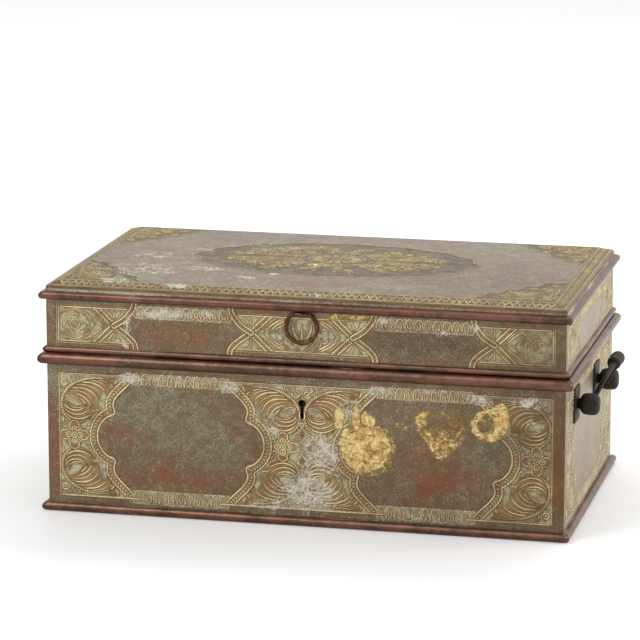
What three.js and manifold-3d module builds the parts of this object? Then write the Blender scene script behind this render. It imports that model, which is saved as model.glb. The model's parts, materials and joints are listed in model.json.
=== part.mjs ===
// Brass casket with a hinged lid, a sliding bolt lock, a ring pull and two swinging end handles.
// Units are millimetres and +Z is up. The origin is the centre of the underside of the floor.
// The front faces -Y, and +X is to the right of someone who faces the front.
// Everything on a side of the box is drawn in that side's own group, whose X runs along the
// side, whose -Y points out of the box and whose Y = 0 is the outer face of the wall.

import * as THREE from "three";
import { mergeVertices } from "three/addons/utils/BufferGeometryUtils.js";
import Module from "manifold-3d";

const wasm = await Module();
wasm.setup();

// Box and sheet
const boxLength = 450; // outside of the left wall to outside of the right wall
const boxDepth = 263.5; // outside of the front wall to outside of the back wall
const sheet = 1.5; // walls and lid panel
const floorSheet = 2;
const baseWallTop = 140; // height of the top edge of the base walls
const splitGap = 0.3; // between the base walls and the closed lid
const lidWallHeight = 55.7;
const fit = 0.3; // clearance between pieces cut to each other
const cutPast = 1; // how far a cutting block goes past what it cuts
const holeSteps = 6; // facets of half a drilled hole

// Mouldings: height, and how far each stands out from the wall
const plinthHeight = 7.6;
const plinthProjection = 5.2;
const rimHeight = 10;
const rimProjection = 6.9;
const beadHeight = 5.2;
const beadProjection = 3;
const corniceHeight = 7.2;
const corniceProjection = 5.4;
const coveHeight = 2.2; // hollow above the cornice
const coveFoot = 0.4; // width left at the top of the hollow
const noseSteps = 5; // facets of a quarter of a moulding's nose

// Lid panel
const panelEdge = 2.3; // upright edge of the panel
const borderWidth = 12; // sloping border inside the edge
const borderRise = 3.9;
const crownRise = 3.3; // middle of the panel above the border
const softEdge = 1; // inset of the eased top corner
const softEdgeRise = 0.3;
const panelCellsAlong = 10;
const panelCellsAcross = 6;

// Hinges at the back
const hingeFromEnd = 95; // middle of a hinge to the end of the box
const leafWidth = 36;
const leafHeight = 27;
const leafSheet = 1.5;
const knuckleRadius = 3.2;
const knuckleCount = 5;
const pinRadius = 1.5;
const pinHeadRadius = 2.6;
const pinHeadThickness = 1;
const runningFit = 0.08; // pin to knuckle
const rivetRadius = 1.2;
const rivetHeadRadius = 2.6;
const rivetHeadHeight = 1.4;
const rivetTailRadius = 2.4;
const rivetTailHeight = 0.8;
const rivetSpacing = 22;
const rivetFromSplit = 18;
const hingeFacets = 16;

// Lock
const keyholeRadius = 3.25;
const keyholeSlot = 3; // width of the slot
const keyholeDrop = 13.3; // centre of the round part to the foot of the slot
const lockWidth = 72;
const lockDepth = 12.5; // inside face of the front wall to the back of the case
const lockSheet = 1.2;
const lockBelowKey = 3; // case below the foot of the keyhole
const lockBelowTop = 2; // case top below the top edge of the walls
const boltHeight = 6; // of each of its two bars
const boltThickness = 3.8;
const boltFromWall = 3; // front of the bolt behind the inside of the wall
const boltTravel = 12;
const boltStart = 4.5; // middle of the lock to the nose of the drawn upper bar
const boltBridge = 8; // width of the upright that joins the bars
const boltStep = 3.8; // gap between the two bars
const boltHeadroom = 4; // upper bar to the inside of the case's top
const talonWidth = 7; // notch that the key's bit turns in
const talonDepth = 3;
const guideSheet = 1.5;
const guideLip = 2; // guide above and below the bars
const stapleThickness = 3;
const stapleWidth = 8.2;
const stapleFoot = 2.2; // metal below the staple's eye
const stapleRoom = 0.8; // staple to the mouth of the case, which it swings out of
const staplePlateWidth = 26;
const staplePlateHeight = 22;
const stapleSheet = 1.4;
const boltClearance = 0.5; // bolt to the staple's eye

// Ring pull under the cornice
const ringRadius = 13.35; // centre line of the ring
const ringWire = 1.65; // radius of the wire
const ringDrop = 11.3; // ring's centre below its pivot
const ringOut = 2.3; // pivot from the wall
const ringBelowCornice = 2.4; // pivot below the cornice's underside
const ringTubeRadius = 1.75;
const ringTubeLength = 11.2;
const ringTubeBore = 1.15;
const ringPinRadius = 0.95;
const ringPinLength = 4.4; // of each end inside the tube
const ringSaddle = 7; // width of the saddle that holds the tube

// End handles
const studFromCorner = 55.25; // nearer stud to the corner of the box
const studSpacing = 110;
const handleTilt = 2; // degrees, from level, with the nearer stud the higher
const backplateBelowRim = 10.3; // top of a level backplate to the underside of the rim moulding
const backplateWidth = 27;
const backplateHeight = 30.4;
const backplateCorner = 3;
const backplateSheet = 1.6;
const knobRadius = 9.6;
const knobMiddle = 12.3; // pivot from the wall
const knobReach = 20.6; // end of the knob from the wall
const neckRadius = 4.6;
const shankRadius = 2.6;
const shankTailRadius = 4.6;
const shankTailHeight = 1.2;
const bailPinRadius = 1.9;
const bailPinFit = 0.15;
const bailPinPastMiddle = 3; // how far a pin end goes beyond the knob's middle
const bailWire = 2.5; // radius of the rod
const bailBow = 32; // rise of the middle of the rod from the pivot line
const bailLean = 25.5; // degrees, from upright, that the bow leans out
const bailGap = 1; // foot of the rod to the knob
const pinFacets = 16;
const gripRadius = 6.2; // rings of the grip, at the middle of the rod
const gripRings = 4;
const gripLength = 28;

const lidBottom = baseWallTop + splitGap;
const lidWallTop = lidBottom + lidWallHeight;
const hingeHeight = baseWallTop + splitGap / 2;
const hingeOut = knuckleRadius + fit;
const corniceBottom = lidWallTop - coveHeight - corniceHeight;
const hingeSpacing = boxLength - 2 * hingeFromEnd;
const handleMiddle = studFromCorner + studSpacing / 2 - boxDepth / 2; // along the wall
const handleHeight = baseWallTop - rimHeight - backplateBelowRim - backplateHeight / 2;
const handleTurn = THREE.MathUtils.degToRad(handleTilt);
const lockTop = baseWallTop - lockBelowTop;
const upperBarTop = lockTop - lockSheet - boltHeadroom;
const upperBarBottom = upperBarTop - boltHeight;
const lowerBarTop = upperBarBottom - boltStep;
const lowerBarBottom = lowerBarTop - boltHeight;
const keyholeHeight = lowerBarBottom + talonDepth - keyholeDrop; // centre of the round part
const quarterTurn = Math.PI / 2;

const patinated = (color, roughness) =>
  new THREE.MeshStandardMaterial({ color, roughness, metalness: 0.7 });
const looks = {
  wall: () => patinated(0x8a6b47, 0.55),
  moulding: () => patinated(0x6b4230, 0.45),
  panel: () => patinated(0x7a6150, 0.5),
  inside: () => patinated(0x7c6a4c, 0.7),
  fitting: () => patinated(0x8f7440, 0.5),
  ring: () => patinated(0x7d4a33, 0.45),
  iron: () => patinated(0x2b2320, 0.6),
};

const casket = new THREE.Group();
const sides = {
  front: { turn: 0, x: 0, y: -boxDepth / 2, half: boxLength / 2 },
  right: { turn: 1, x: boxLength / 2, y: 0, half: boxDepth / 2 },
  back: { turn: 2, x: 0, y: boxDepth / 2, half: boxLength / 2 },
  left: { turn: 3, x: -boxLength / 2, y: 0, half: boxDepth / 2 },
};
for (const side of Object.values(sides)) {
  side.group = new THREE.Group();
  side.group.position.set(side.x, side.y, 0);
  side.group.rotation.z = side.turn * quarterTurn;
  casket.add(side.group);
}

function addPiece(parent, name, geometry, look) {
  const mesh = new THREE.Mesh(geometry, look());
  mesh.name = name;
  parent.add(mesh);
  return mesh;
}

// Solids: joining and cutting closed geometries
function toSolid(geometry) {
  const bare = geometry.clone();
  bare.deleteAttribute("normal");
  bare.deleteAttribute("uv");
  const merged = mergeVertices(bare, 1e-4);
  const vertProperties = Float32Array.from(merged.attributes.position.array);
  const triVerts = Uint32Array.from(merged.index.array);
  return new wasm.Manifold(new wasm.Mesh({ numProp: 3, vertProperties, triVerts }));
}

function toGeometry(solid) {
  const mesh = solid.getMesh();
  const geometry = new THREE.BufferGeometry();
  geometry.setAttribute("position", new THREE.BufferAttribute(Float32Array.from(mesh.vertProperties), 3));
  geometry.setIndex(new THREE.BufferAttribute(Uint32Array.from(mesh.triVerts), 1));
  geometry.computeVertexNormals();
  return geometry;
}

function join(...geometries) {
  return toGeometry(geometries.map(toSolid).reduce((sum, next) => sum.add(next)));
}

function cut(geometry, ...tools) {
  return toGeometry(tools.map(toSolid).reduce((rest, tool) => rest.subtract(tool), toSolid(geometry)));
}

function block(x0, x1, y0, y1, z0, z1) {
  const box = new THREE.BoxGeometry(x1 - x0, y1 - y0, z1 - z0);
  return box.translate((x0 + x1) / 2, (y0 + y1) / 2, (z0 + z1) / 2);
}

function rodAlongX(radius, x0, x1, y, z, facets = 20) {
  const rod = new THREE.CylinderGeometry(radius, radius, x1 - x0, facets);
  return rod.rotateZ(quarterTurn).translate((x0 + x1) / 2, y, z);
}

function rodAlongY(radius, y0, y1, x, z, facets = 12) {
  const rod = new THREE.CylinderGeometry(radius, radius, y1 - y0, facets);
  return rod.translate(x, (y0 + y1) / 2, z);
}

// A turned piece from [radius, distance out of the wall] pairs, the innermost end first
function turned(profile, facets) {
  const points = profile.map(([radius, out]) => new THREE.Vector2(radius, -out)).reverse();
  return new THREE.LatheGeometry(points, facets);
}

// A round rod along a path of points
function bentRod(points, radius, steps, sides) {
  const circle = new THREE.Shape();
  circle.absarc(0, 0, radius, 0, 2 * Math.PI, false);
  const extrudePath = new THREE.CatmullRomCurve3(points);
  return new THREE.ExtrudeGeometry(circle, { steps, extrudePath, curveSegments: sides / 2 });
}

// Walls
function roundHole(x, z, radius) {
  return new THREE.Path().absarc(x, z, radius, 0, 2 * Math.PI, true);
}

function keyhole() {
  const half = keyholeSlot / 2;
  const start = Math.asin(half / keyholeRadius);
  const path = new THREE.Path();
  path.absarc(0, keyholeHeight, keyholeRadius, -quarterTurn + start, 1.5 * Math.PI - start, false);
  path.lineTo(-half, keyholeHeight - keyholeDrop);
  path.lineTo(half, keyholeHeight - keyholeDrop);
  path.closePath();
  return path;
}

function extruded(shape, depth) {
  return new THREE.ExtrudeGeometry(shape, { depth, bevelEnabled: false, curveSegments: holeSteps });
}

function wallPlate(length, bottom, top, holes) {
  const shape = new THREE.Shape();
  shape.moveTo(-length / 2, bottom);
  shape.lineTo(length / 2, bottom);
  shape.lineTo(length / 2, top);
  shape.lineTo(-length / 2, top);
  shape.closePath();
  shape.holes.push(...holes);
  return extruded(shape, sheet).rotateX(quarterTurn).translate(0, sheet, 0);
}

function studHoles() {
  return [-1, 1].map((end) => {
    const x = handleMiddle + ((end * studSpacing) / 2) * Math.cos(handleTurn);
    const z = handleHeight - ((end * studSpacing) / 2) * Math.sin(handleTurn);
    return roundHole(x, z, shankRadius + fit);
  });
}

function rivetPlaces(direction) {
  const height = hingeHeight + direction * rivetFromSplit;
  const places = [];
  for (const hinge of [-1, 1]) {
    for (const end of [-1, 1]) {
      places.push([(hinge * hingeSpacing) / 2 + (end * rivetSpacing) / 2, height]);
    }
  }
  return places;
}

function rivetHoles(direction) {
  return rivetPlaces(direction).map(([x, z]) => roundHole(x, z, rivetRadius + fit));
}

const endLength = boxDepth - 2 * sheet;
addPiece(
  casket,
  "base_floor",
  block(-boxLength / 2, boxLength / 2, -boxDepth / 2, boxDepth / 2, 0, floorSheet),
  looks.inside,
);
const walls = [
  ["front", boxLength, [keyhole()], []],
  ["right", endLength, studHoles(), []],
  ["back", boxLength, rivetHoles(-1), rivetHoles(1)],
  ["left", endLength, studHoles(), []],
];
for (const [name, length, baseHoles, lidHoles] of walls) {
  const group = sides[name].group;
  addPiece(group, `base_${name}_wall`, wallPlate(length, floorSheet, baseWallTop, baseHoles), looks.wall);
  addPiece(group, `lid_${name}_wall`, wallPlate(length, lidBottom, lidWallTop, lidHoles), looks.wall);
}

// Mouldings: profiles are drawn with X out of the wall and Y up
function halfRound(bottom, height, projection) {
  const depth = Math.min(height / 2, projection);
  const shoulder = projection - depth;
  const middle = bottom + height / 2;
  const shape = new THREE.Shape();
  shape.moveTo(0, bottom);
  shape.lineTo(shoulder, bottom);
  shape.absellipse(shoulder, middle, depth, height / 2, -quarterTurn, quarterTurn, false);
  shape.lineTo(0, bottom + height);
  shape.closePath();
  return shape;
}

function corniceProfile() {
  const depth = Math.min(corniceHeight / 2, corniceProjection);
  const shoulder = corniceProjection - depth;
  const middle = corniceBottom + corniceHeight / 2;
  const noseTop = corniceBottom + corniceHeight;
  const shape = new THREE.Shape();
  shape.moveTo(0, corniceBottom);
  shape.lineTo(shoulder, corniceBottom);
  shape.absellipse(shoulder, middle, depth, corniceHeight / 2, -quarterTurn, quarterTurn, false);
  shape.quadraticCurveTo(coveFoot, noseTop, coveFoot, lidWallTop);
  shape.lineTo(0, lidWallTop);
  shape.closePath();
  return shape;
}

// The two ends of a length of moulding: mitred at a corner of the box, or cut square
const mitred = (side, end) => (out) => end * (side.half + out - fit / Math.SQRT2);
const squareAt = (x) => () => x;

function rail(profile, leftEnd, rightEnd) {
  const geometry = new THREE.ExtrudeGeometry(profile, {
    depth: 1,
    steps: 1,
    bevelEnabled: false,
    curveSegments: noseSteps,
  });
  const corners = geometry.attributes.position;
  for (let i = 0; i < corners.count; i += 1) {
    const out = corners.getX(i);
    const end = corners.getZ(i) < 0.5 ? rightEnd : leftEnd;
    corners.setXYZ(i, end(out), -out, corners.getY(i));
  }
  return geometry;
}

const hingeRoom = leafWidth / 2 + fit + pinHeadThickness + fit;

function surround(name, profile, stopsAtHinges) {
  for (const [sideName, side] of Object.entries(sides)) {
    const left = mitred(side, -1);
    const right = mitred(side, 1);
    if (sideName !== "back" || !stopsAtHinges) {
      addPiece(side.group, `${sideName}_${name}`, rail(profile, left, right), looks.moulding);
      continue;
    }
    const outer = hingeSpacing / 2 + hingeRoom;
    const inner = hingeSpacing / 2 - hingeRoom;
    for (const [part, start, end] of [
      ["right", left, squareAt(-outer)],
      ["middle", squareAt(-inner), squareAt(inner)],
      ["left", squareAt(outer), right],
    ]) {
      addPiece(side.group, `back_${name}_${part}`, rail(profile, start, end), looks.moulding);
    }
  }
}

surround("plinth_moulding", halfRound(0, plinthHeight, plinthProjection), false);
surround("rim_moulding", halfRound(baseWallTop - rimHeight, rimHeight, rimProjection), true);
surround("lid_bead", halfRound(lidBottom, beadHeight, beadProjection), true);
surround("lid_cornice", corniceProfile(), false);

// Lid panel: an upright edge, a sloping border and a low crown
function panelTop(x, y) {
  const inset = Math.min(boxLength / 2 - Math.abs(x), boxDepth / 2 - Math.abs(y));
  const edge = lidWallTop + panelEdge;
  if (inset <= softEdge) {
    return edge + (softEdgeRise * inset) / softEdge;
  }
  if (inset < borderWidth) {
    const share = (inset - softEdge) / (borderWidth - softEdge);
    return edge + softEdgeRise + (borderRise - softEdgeRise) * share;
  }
  const u = x / (boxLength / 2 - borderWidth);
  const v = y / (boxDepth / 2 - borderWidth);
  return edge + borderRise + crownRise * (1 - u * u) * (1 - v * v);
}

function panelBottom(x, y) {
  const inset = Math.min(boxLength / 2 - Math.abs(x), boxDepth / 2 - Math.abs(y));
  return inset < sheet + softEdgeRise / 10 ? lidWallTop : panelTop(x, y) - sheet;
}

function gridLines(half, cells) {
  const insets = [0, softEdge, sheet, sheet + 0.1, borderWidth];
  const lines = insets.map((inset) => -half + inset);
  const inner = half - borderWidth;
  for (let i = 1; i < cells; i += 1) {
    lines.push(-inner + (2 * inner * i) / cells);
  }
  return lines.concat(insets.map((inset) => half - inset).reverse());
}

function lidPanel() {
  const xs = gridLines(boxLength / 2, panelCellsAlong);
  const ys = gridLines(boxDepth / 2, panelCellsAcross);
  const geometry = new THREE.BoxGeometry(1, 1, 1, xs.length - 1, ys.length - 1, 1);
  const corners = geometry.attributes.position;
  for (let i = 0; i < corners.count; i += 1) {
    const x = xs[Math.round((corners.getX(i) + 0.5) * (xs.length - 1))];
    const y = ys[Math.round((corners.getY(i) + 0.5) * (ys.length - 1))];
    const height = corners.getZ(i) > 0 ? panelTop : panelBottom;
    corners.setXYZ(i, x, y, height(x, y));
  }
  // Each cell is split along the diagonal that points to the middle, so the corners mitre
  const faces = geometry.index;
  for (let k = 0; k < faces.count; k += 6) {
    const [a, b, d, c] = [0, 1, 2, 4].map((offset) => faces.getX(k + offset));
    const run = corners.getX(c) - corners.getX(a);
    const rise = corners.getY(c) - corners.getY(a);
    const middle = (corners.getX(a) + corners.getX(c)) * (corners.getY(a) + corners.getY(c));
    if (run * rise * middle > 0) {
      [a, b, c, a, c, d].forEach((corner, offset) => faces.setX(k + offset, corner));
    }
  }
  return geometry;
}

addPiece(casket, "lid_top_panel", lidPanel(), looks.panel);

// Hinges: riveted to the outside of the back walls, the upper leaf on the lid
const knucklePitch = leafWidth / knuckleCount;

function knuckleSpan(x, index) {
  const start = x - leafWidth / 2 + index * knucklePitch;
  const from = start + (index > 0 ? fit / 2 : 0);
  const to = start + knucklePitch - (index < knuckleCount - 1 ? fit / 2 : 0);
  return [from, to];
}

function hingeLeaf(x, direction) {
  const bottom = direction < 0 ? hingeHeight - leafHeight : hingeHeight;
  const top = bottom + leafHeight;
  const plate = block(x - leafWidth / 2, x + leafWidth / 2, -leafSheet, 0, bottom, top);
  const own = [];
  const notches = [];
  const room = knuckleRadius + fit;
  for (let index = 0; index < knuckleCount; index += 1) {
    const [from, to] = knuckleSpan(x, index);
    if ((index % 2 === 0) === direction < 0) {
      own.push(rodAlongX(knuckleRadius, from, to, -hingeOut, hingeHeight, hingeFacets));
    } else {
      notches.push(block(from - fit, to + fit, -2 * room, room, hingeHeight - room, hingeHeight + room));
    }
  }
  const boreRadius = pinRadius + runningFit;
  const bore = rodAlongX(boreRadius, x - leafWidth, x + leafWidth, -hingeOut, hingeHeight, hingeFacets);
  const rivetLine = hingeHeight + direction * rivetFromSplit;
  const holes = [-1, 1].map((end) => {
    const at = x + (end * rivetSpacing) / 2;
    return rodAlongY(rivetRadius + fit, -2 * leafSheet, leafSheet, at, rivetLine);
  });
  return cut(join(cut(plate, ...notches), ...own), bore, ...holes);
}

function hingePin(x) {
  const reach = leafWidth / 2 + fit;
  const end = reach + pinHeadThickness;
  const pin = turned(
    [
      [0, -end],
      [pinHeadRadius, -end],
      [pinHeadRadius, -reach],
      [pinRadius, -reach],
      [pinRadius, reach],
      [pinHeadRadius, reach],
      [pinHeadRadius, end],
      [0, end],
    ],
    hingeFacets,
  );
  return pin.rotateZ(quarterTurn).translate(x, -hingeOut, hingeHeight);
}

function rivet([x, z]) {
  const back = -sheet - rivetTailHeight;
  const front = leafSheet + rivetHeadHeight;
  const profile = [
    [0, back],
    [rivetTailRadius, back],
    [rivetTailRadius, -sheet],
    [rivetRadius, -sheet],
    [rivetRadius, leafSheet],
    [rivetHeadRadius, leafSheet],
    [rivetHeadRadius * 0.85, leafSheet + rivetHeadHeight * 0.55],
    [rivetHeadRadius * 0.45, leafSheet + rivetHeadHeight * 0.9],
    [0, front],
  ];
  return turned(profile, 10).translate(x, 0, z);
}

const back = sides.back.group;
const worldSide = ["right", "left"]; // the back's own X runs from the right end to the left end
[-1, 1].forEach((end, index) => {
  const x = (end * hingeSpacing) / 2;
  addPiece(back, `hinge_${worldSide[index]}_lower_leaf`, hingeLeaf(x, -1), looks.fitting);
  addPiece(back, `hinge_${worldSide[index]}_upper_leaf`, hingeLeaf(x, 1), looks.fitting);
  addPiece(back, `hinge_${worldSide[index]}_pin`, hingePin(x), looks.fitting);
});
rivetPlaces(-1).forEach((place, index) => {
  addPiece(back, `lower_leaf_rivet_${index + 1}`, rivet(place), looks.fitting);
});
rivetPlaces(1).forEach((place, index) => {
  addPiece(back, `upper_leaf_rivet_${index + 1}`, rivet(place), looks.fitting);
});

// Lock: a case behind the keyhole, a bolt that slides along X, and the lid's staple
const boltFront = sheet + boltFromWall;
const boltBack = boltFront + boltThickness;
const lockBottom = keyholeHeight - keyholeDrop - lockBelowKey;
const lockBack = sheet + lockDepth;
const stapleMiddle = (boltFront + boltBack) / 2;
const leftGuide = -boltStart - guideSheet - boltClearance;
const bridgeRight = leftGuide - boltTravel - boltClearance;
const boltTail = bridgeRight - boltBridge;
const rightGuide = keyholeDrop + boltClearance; // beyond the sweep of the key's bit
const lowerBarNose = rightGuide + guideSheet + boltClearance;

function lockCase() {
  const half = lockWidth / 2;
  const shell = block(-half, half, sheet, lockBack, lockBottom, lockTop);
  const room = block(
    lockSheet - half,
    half - lockSheet,
    0,
    lockBack - lockSheet,
    lockBottom + lockSheet,
    lockTop - lockSheet,
  );
  const guide = (x, bottom, top) =>
    block(x, x + guideSheet, sheet + fit, lockBack - lockSheet / 2, bottom - guideLip, top + guideLip);
  const slotEnd = rightGuide + guideSheet + cutPast;
  const slot = (bottom, top) =>
    block(leftGuide - cutPast, slotEnd, boltFront - fit, boltBack + fit, bottom - fit, top + fit);
  const mouth = block(
    -stapleThickness / 2 - stapleRoom,
    stapleThickness / 2 + stapleRoom,
    0,
    stapleMiddle + stapleWidth / 2 + stapleRoom,
    lockTop - 2 * lockSheet,
    lockTop + cutPast,
  );
  return cut(
    join(
      cut(shell, room),
      guide(leftGuide, upperBarBottom, upperBarTop),
      guide(rightGuide, lowerBarBottom, lowerBarTop),
    ),
    slot(lowerBarBottom, lowerBarTop),
    slot(upperBarBottom, upperBarTop),
    mouth,
  );
}

function lockBolt() {
  const lowerBar = block(boltTail, lowerBarNose, boltFront, boltBack, lowerBarBottom, lowerBarTop);
  const upperBar = block(boltTail, -boltStart, boltFront, boltBack, upperBarBottom, upperBarTop);
  const bridge = block(boltTail, bridgeRight, boltFront, boltBack, lowerBarBottom, upperBarTop);
  const talonMiddle = -boltTravel / 2;
  const talon = block(
    talonMiddle - talonWidth / 2,
    talonMiddle + talonWidth / 2,
    boltFront - cutPast,
    boltBack + cutPast,
    lowerBarBottom - cutPast,
    lowerBarBottom + talonDepth,
  );
  return cut(join(lowerBar, upperBar, bridge), talon);
}

function lockStaple() {
  const half = stapleThickness / 2;
  const eyeBottom = upperBarBottom - boltClearance;
  const eyeTop = upperBarTop + boltClearance;
  const plateBottom = lidBottom + fit;
  const plate = block(
    -staplePlateWidth / 2,
    staplePlateWidth / 2,
    sheet,
    sheet + stapleSheet,
    plateBottom,
    plateBottom + staplePlateHeight,
  );
  const tongueFront = stapleMiddle - stapleWidth / 2;
  const tongueBack = stapleMiddle + stapleWidth / 2;
  const tongueTop = plateBottom + staplePlateHeight / 2;
  const tongue = block(-half, half, tongueFront, tongueBack, eyeBottom - stapleFoot, tongueTop);
  const root = block(-half, half, sheet + stapleSheet / 2, tongueBack, plateBottom, tongueTop);
  const eyeFront = boltFront - boltClearance;
  const eyeBack = boltBack + boltClearance;
  const eye = block(-half - 1, half + 1, eyeFront, eyeBack, eyeBottom, eyeTop);
  return cut(join(plate, tongue, root), eye);
}

const front = sides.front.group;
addPiece(front, "lock_case", lockCase(), looks.inside);
addPiece(front, "lock_bolt", lockBolt(), looks.iron);
addPiece(front, "lock_staple", lockStaple(), looks.inside);

// Ring pull: an open ring whose two ends turn inwards into a tube below the cornice
const ringPivot = corniceBottom - ringBelowCornice;

function ringTube() {
  const half = ringTubeLength / 2;
  const tube = rodAlongX(ringTubeRadius, -half, half, -ringOut, ringPivot, 16);
  const saddle = block(
    -ringSaddle / 2,
    ringSaddle / 2,
    -ringOut,
    0,
    ringPivot - ringTubeRadius * 0.8,
    ringPivot + ringTubeRadius * 0.8,
  );
  const bore = rodAlongX(ringTubeBore, -ringTubeLength, ringTubeLength, -ringOut, ringPivot, 16);
  return cut(join(tube, saddle), bore);
}

function pullRing() {
  const centre = ringPivot - ringDrop;
  const start = Math.asin(ringDrop / ringRadius);
  const sweep = Math.PI + 2 * start;
  const steps = 28;
  const points = [];
  for (let i = 0; i <= steps; i += 1) {
    const angle = start - (sweep * i) / steps;
    points.push(
      new THREE.Vector3(ringRadius * Math.cos(angle), -ringOut, centre + ringRadius * Math.sin(angle)),
    );
  }
  const hoop = bentRod(points, ringWire, 28, 8);
  const shoulder = ringRadius * Math.cos(start);
  const pinFrom = ringTubeLength / 2 - ringPinLength;
  const pins = [-1, 1].map((end) => {
    const [from, to] = [end * pinFrom, end * shoulder].sort((a, b) => a - b);
    return rodAlongX(ringPinRadius, from, to, -ringOut, ringPivot, 12);
  });
  const knuckles = [-1, 1].map((end) => {
    const ball = new THREE.SphereGeometry(ringWire, 8, 6);
    return ball.translate(end * shoulder, -ringOut, ringPivot);
  });
  return join(hoop, ...pins, ...knuckles);
}

addPiece(front, "ring_tube", ringTube(), looks.moulding);
addPiece(front, "pull_ring", pullRing(), looks.ring);

// End handles: backplates and turned studs on the wall, and a bail that swings in the knobs.
// They are drawn with the pivot line of the bail along X at height 0.
function backplate(x) {
  const [w, h, r] = [backplateWidth / 2, backplateHeight / 2, backplateCorner];
  const shape = new THREE.Shape();
  shape.moveTo(x - w + r, -h);
  shape.absarc(x + w - r, -h + r, r, -quarterTurn, 0, false);
  shape.absarc(x + w - r, h - r, r, 0, quarterTurn, false);
  shape.absarc(x - w + r, h - r, r, quarterTurn, Math.PI, false);
  shape.absarc(x - w + r, -h + r, r, Math.PI, 1.5 * Math.PI, false);
  shape.holes.push(roundHole(x, 0, shankRadius + fit));
  return extruded(shape, backplateSheet).rotateX(quarterTurn);
}

function stud(x) {
  const tail = -sheet - shankTailHeight;
  const knobLength = knobReach - backplateSheet;
  const out = (share) => backplateSheet + knobLength * share;
  const profile = [
    [0, tail],
    [shankTailRadius, tail],
    [shankTailRadius, -sheet],
    [shankRadius, -sheet],
    [shankRadius, backplateSheet],
    [neckRadius, backplateSheet],
    [neckRadius * 0.9, out(0.1)],
    [knobRadius * 0.78, out(0.2)],
    [knobRadius * 0.96, out(0.36)],
    [knobRadius, out(0.56)],
    [knobRadius * 0.97, out(0.76)],
    [knobRadius * 0.86, out(0.9)],
    [knobRadius * 0.6, out(0.98)],
    [0, knobReach],
  ];
  const body = turned(profile, 18).translate(x, 0, 0);
  const inwards = x > 0 ? -1 : 1;
  const boreEnds = [x - inwards * (bailPinPastMiddle + fit), x + inwards * 2 * knobRadius];
  const [from, to] = boreEnds.sort((a, b) => a - b);
  return cut(body, rodAlongX(bailPinRadius + bailPinFit, from, to, -knobMiddle, 0, pinFacets));
}

// The bail's bow is half an oval that rises along Z, with a ringed grip round its middle
function bail() {
  const reach = studSpacing / 2 - knobRadius - bailGap - bailWire;
  const steps = 14;
  const bow = [];
  for (let i = 0; i <= steps; i += 1) {
    const angle = (Math.PI * i) / steps;
    bow.push(new THREE.Vector3(-reach * Math.cos(angle), 0, bailBow * Math.sin(angle)));
  }
  const rod = bentRod(bow, bailWire, 24, 10);
  const pinEnd = studSpacing / 2 + bailPinPastMiddle;
  const feet = [-1, 1].map((end) => {
    const [from, to] = [end * pinEnd, end * reach].sort((a, b) => a - b);
    const elbow = new THREE.SphereGeometry(bailWire, 10, 8).translate(end * reach, 0, 0);
    return join(elbow, rodAlongX(bailPinRadius, from, to, 0, 0, pinFacets));
  });
  const width = gripLength / gripRings;
  const profile = [[0, -gripLength / 2]];
  for (let ring = 0; ring < gripRings; ring += 1) {
    const start = ring * width - gripLength / 2;
    profile.push([gripRadius * 0.82, start]);
    profile.push([gripRadius, start + width * 0.3]);
    profile.push([gripRadius, start + width * 0.7]);
  }
  profile.push([gripRadius * 0.82, gripLength / 2], [0, gripLength / 2]);
  const grip = turned(profile, 14).rotateZ(quarterTurn).translate(0, 0, bailBow);
  return join(rod, ...feet, grip);
}

for (const name of ["left", "right"]) {
  const handle = new THREE.Group();
  handle.position.set(handleMiddle, 0, handleHeight);
  handle.rotation.y = handleTurn;
  sides[name].group.add(handle);
  for (const [end, place] of [
    [-1, name === "right" ? "front" : "back"],
    [1, name === "right" ? "back" : "front"],
  ]) {
    const x = (end * studSpacing) / 2;
    addPiece(handle, `${name}_handle_${place}_backplate`, backplate(x), looks.iron);
    addPiece(handle, `${name}_handle_${place}_stud`, stud(x), looks.iron);
  }
  const pivot = new THREE.Group();
  pivot.position.set(0, -knobMiddle, 0);
  pivot.rotation.x = THREE.MathUtils.degToRad(bailLean);
  handle.add(pivot);
  addPiece(pivot, `${name}_handle_bail`, bail(), looks.iron);
}

export default casket;
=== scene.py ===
"""Brass casket: chased sheet brass with a hinged lid, a lock, a ring pull and iron handles.

Sizes are in millimetres and are turned into metres where a mesh is made. The four upright
sides are drawn along their own length, with "out" pointing away from the box.
"""

from __future__ import annotations

import json
import logging
import math
from dataclasses import dataclass, field, replace
from enum import Enum
from typing import Callable, Iterable, Sequence

import bpy
import numpy as np
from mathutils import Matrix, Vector

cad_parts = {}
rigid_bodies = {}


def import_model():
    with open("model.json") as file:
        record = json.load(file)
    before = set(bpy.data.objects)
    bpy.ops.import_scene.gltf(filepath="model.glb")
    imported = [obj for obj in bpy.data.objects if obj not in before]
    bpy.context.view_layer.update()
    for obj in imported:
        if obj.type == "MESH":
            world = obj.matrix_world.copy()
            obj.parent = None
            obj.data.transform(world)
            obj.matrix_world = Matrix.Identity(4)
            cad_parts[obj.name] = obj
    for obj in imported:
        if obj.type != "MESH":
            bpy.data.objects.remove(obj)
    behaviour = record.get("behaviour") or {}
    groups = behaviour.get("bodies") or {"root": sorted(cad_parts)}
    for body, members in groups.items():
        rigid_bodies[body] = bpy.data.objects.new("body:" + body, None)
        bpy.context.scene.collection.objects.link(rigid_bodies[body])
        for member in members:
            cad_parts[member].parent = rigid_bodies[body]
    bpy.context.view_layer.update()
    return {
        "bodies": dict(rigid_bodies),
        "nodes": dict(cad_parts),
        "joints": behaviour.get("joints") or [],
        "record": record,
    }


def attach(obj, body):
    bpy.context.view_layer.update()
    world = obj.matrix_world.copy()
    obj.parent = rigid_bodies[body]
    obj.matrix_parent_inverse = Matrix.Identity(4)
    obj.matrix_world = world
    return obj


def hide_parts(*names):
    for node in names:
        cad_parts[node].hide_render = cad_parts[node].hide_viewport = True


log = logging.getLogger("casket")

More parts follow.
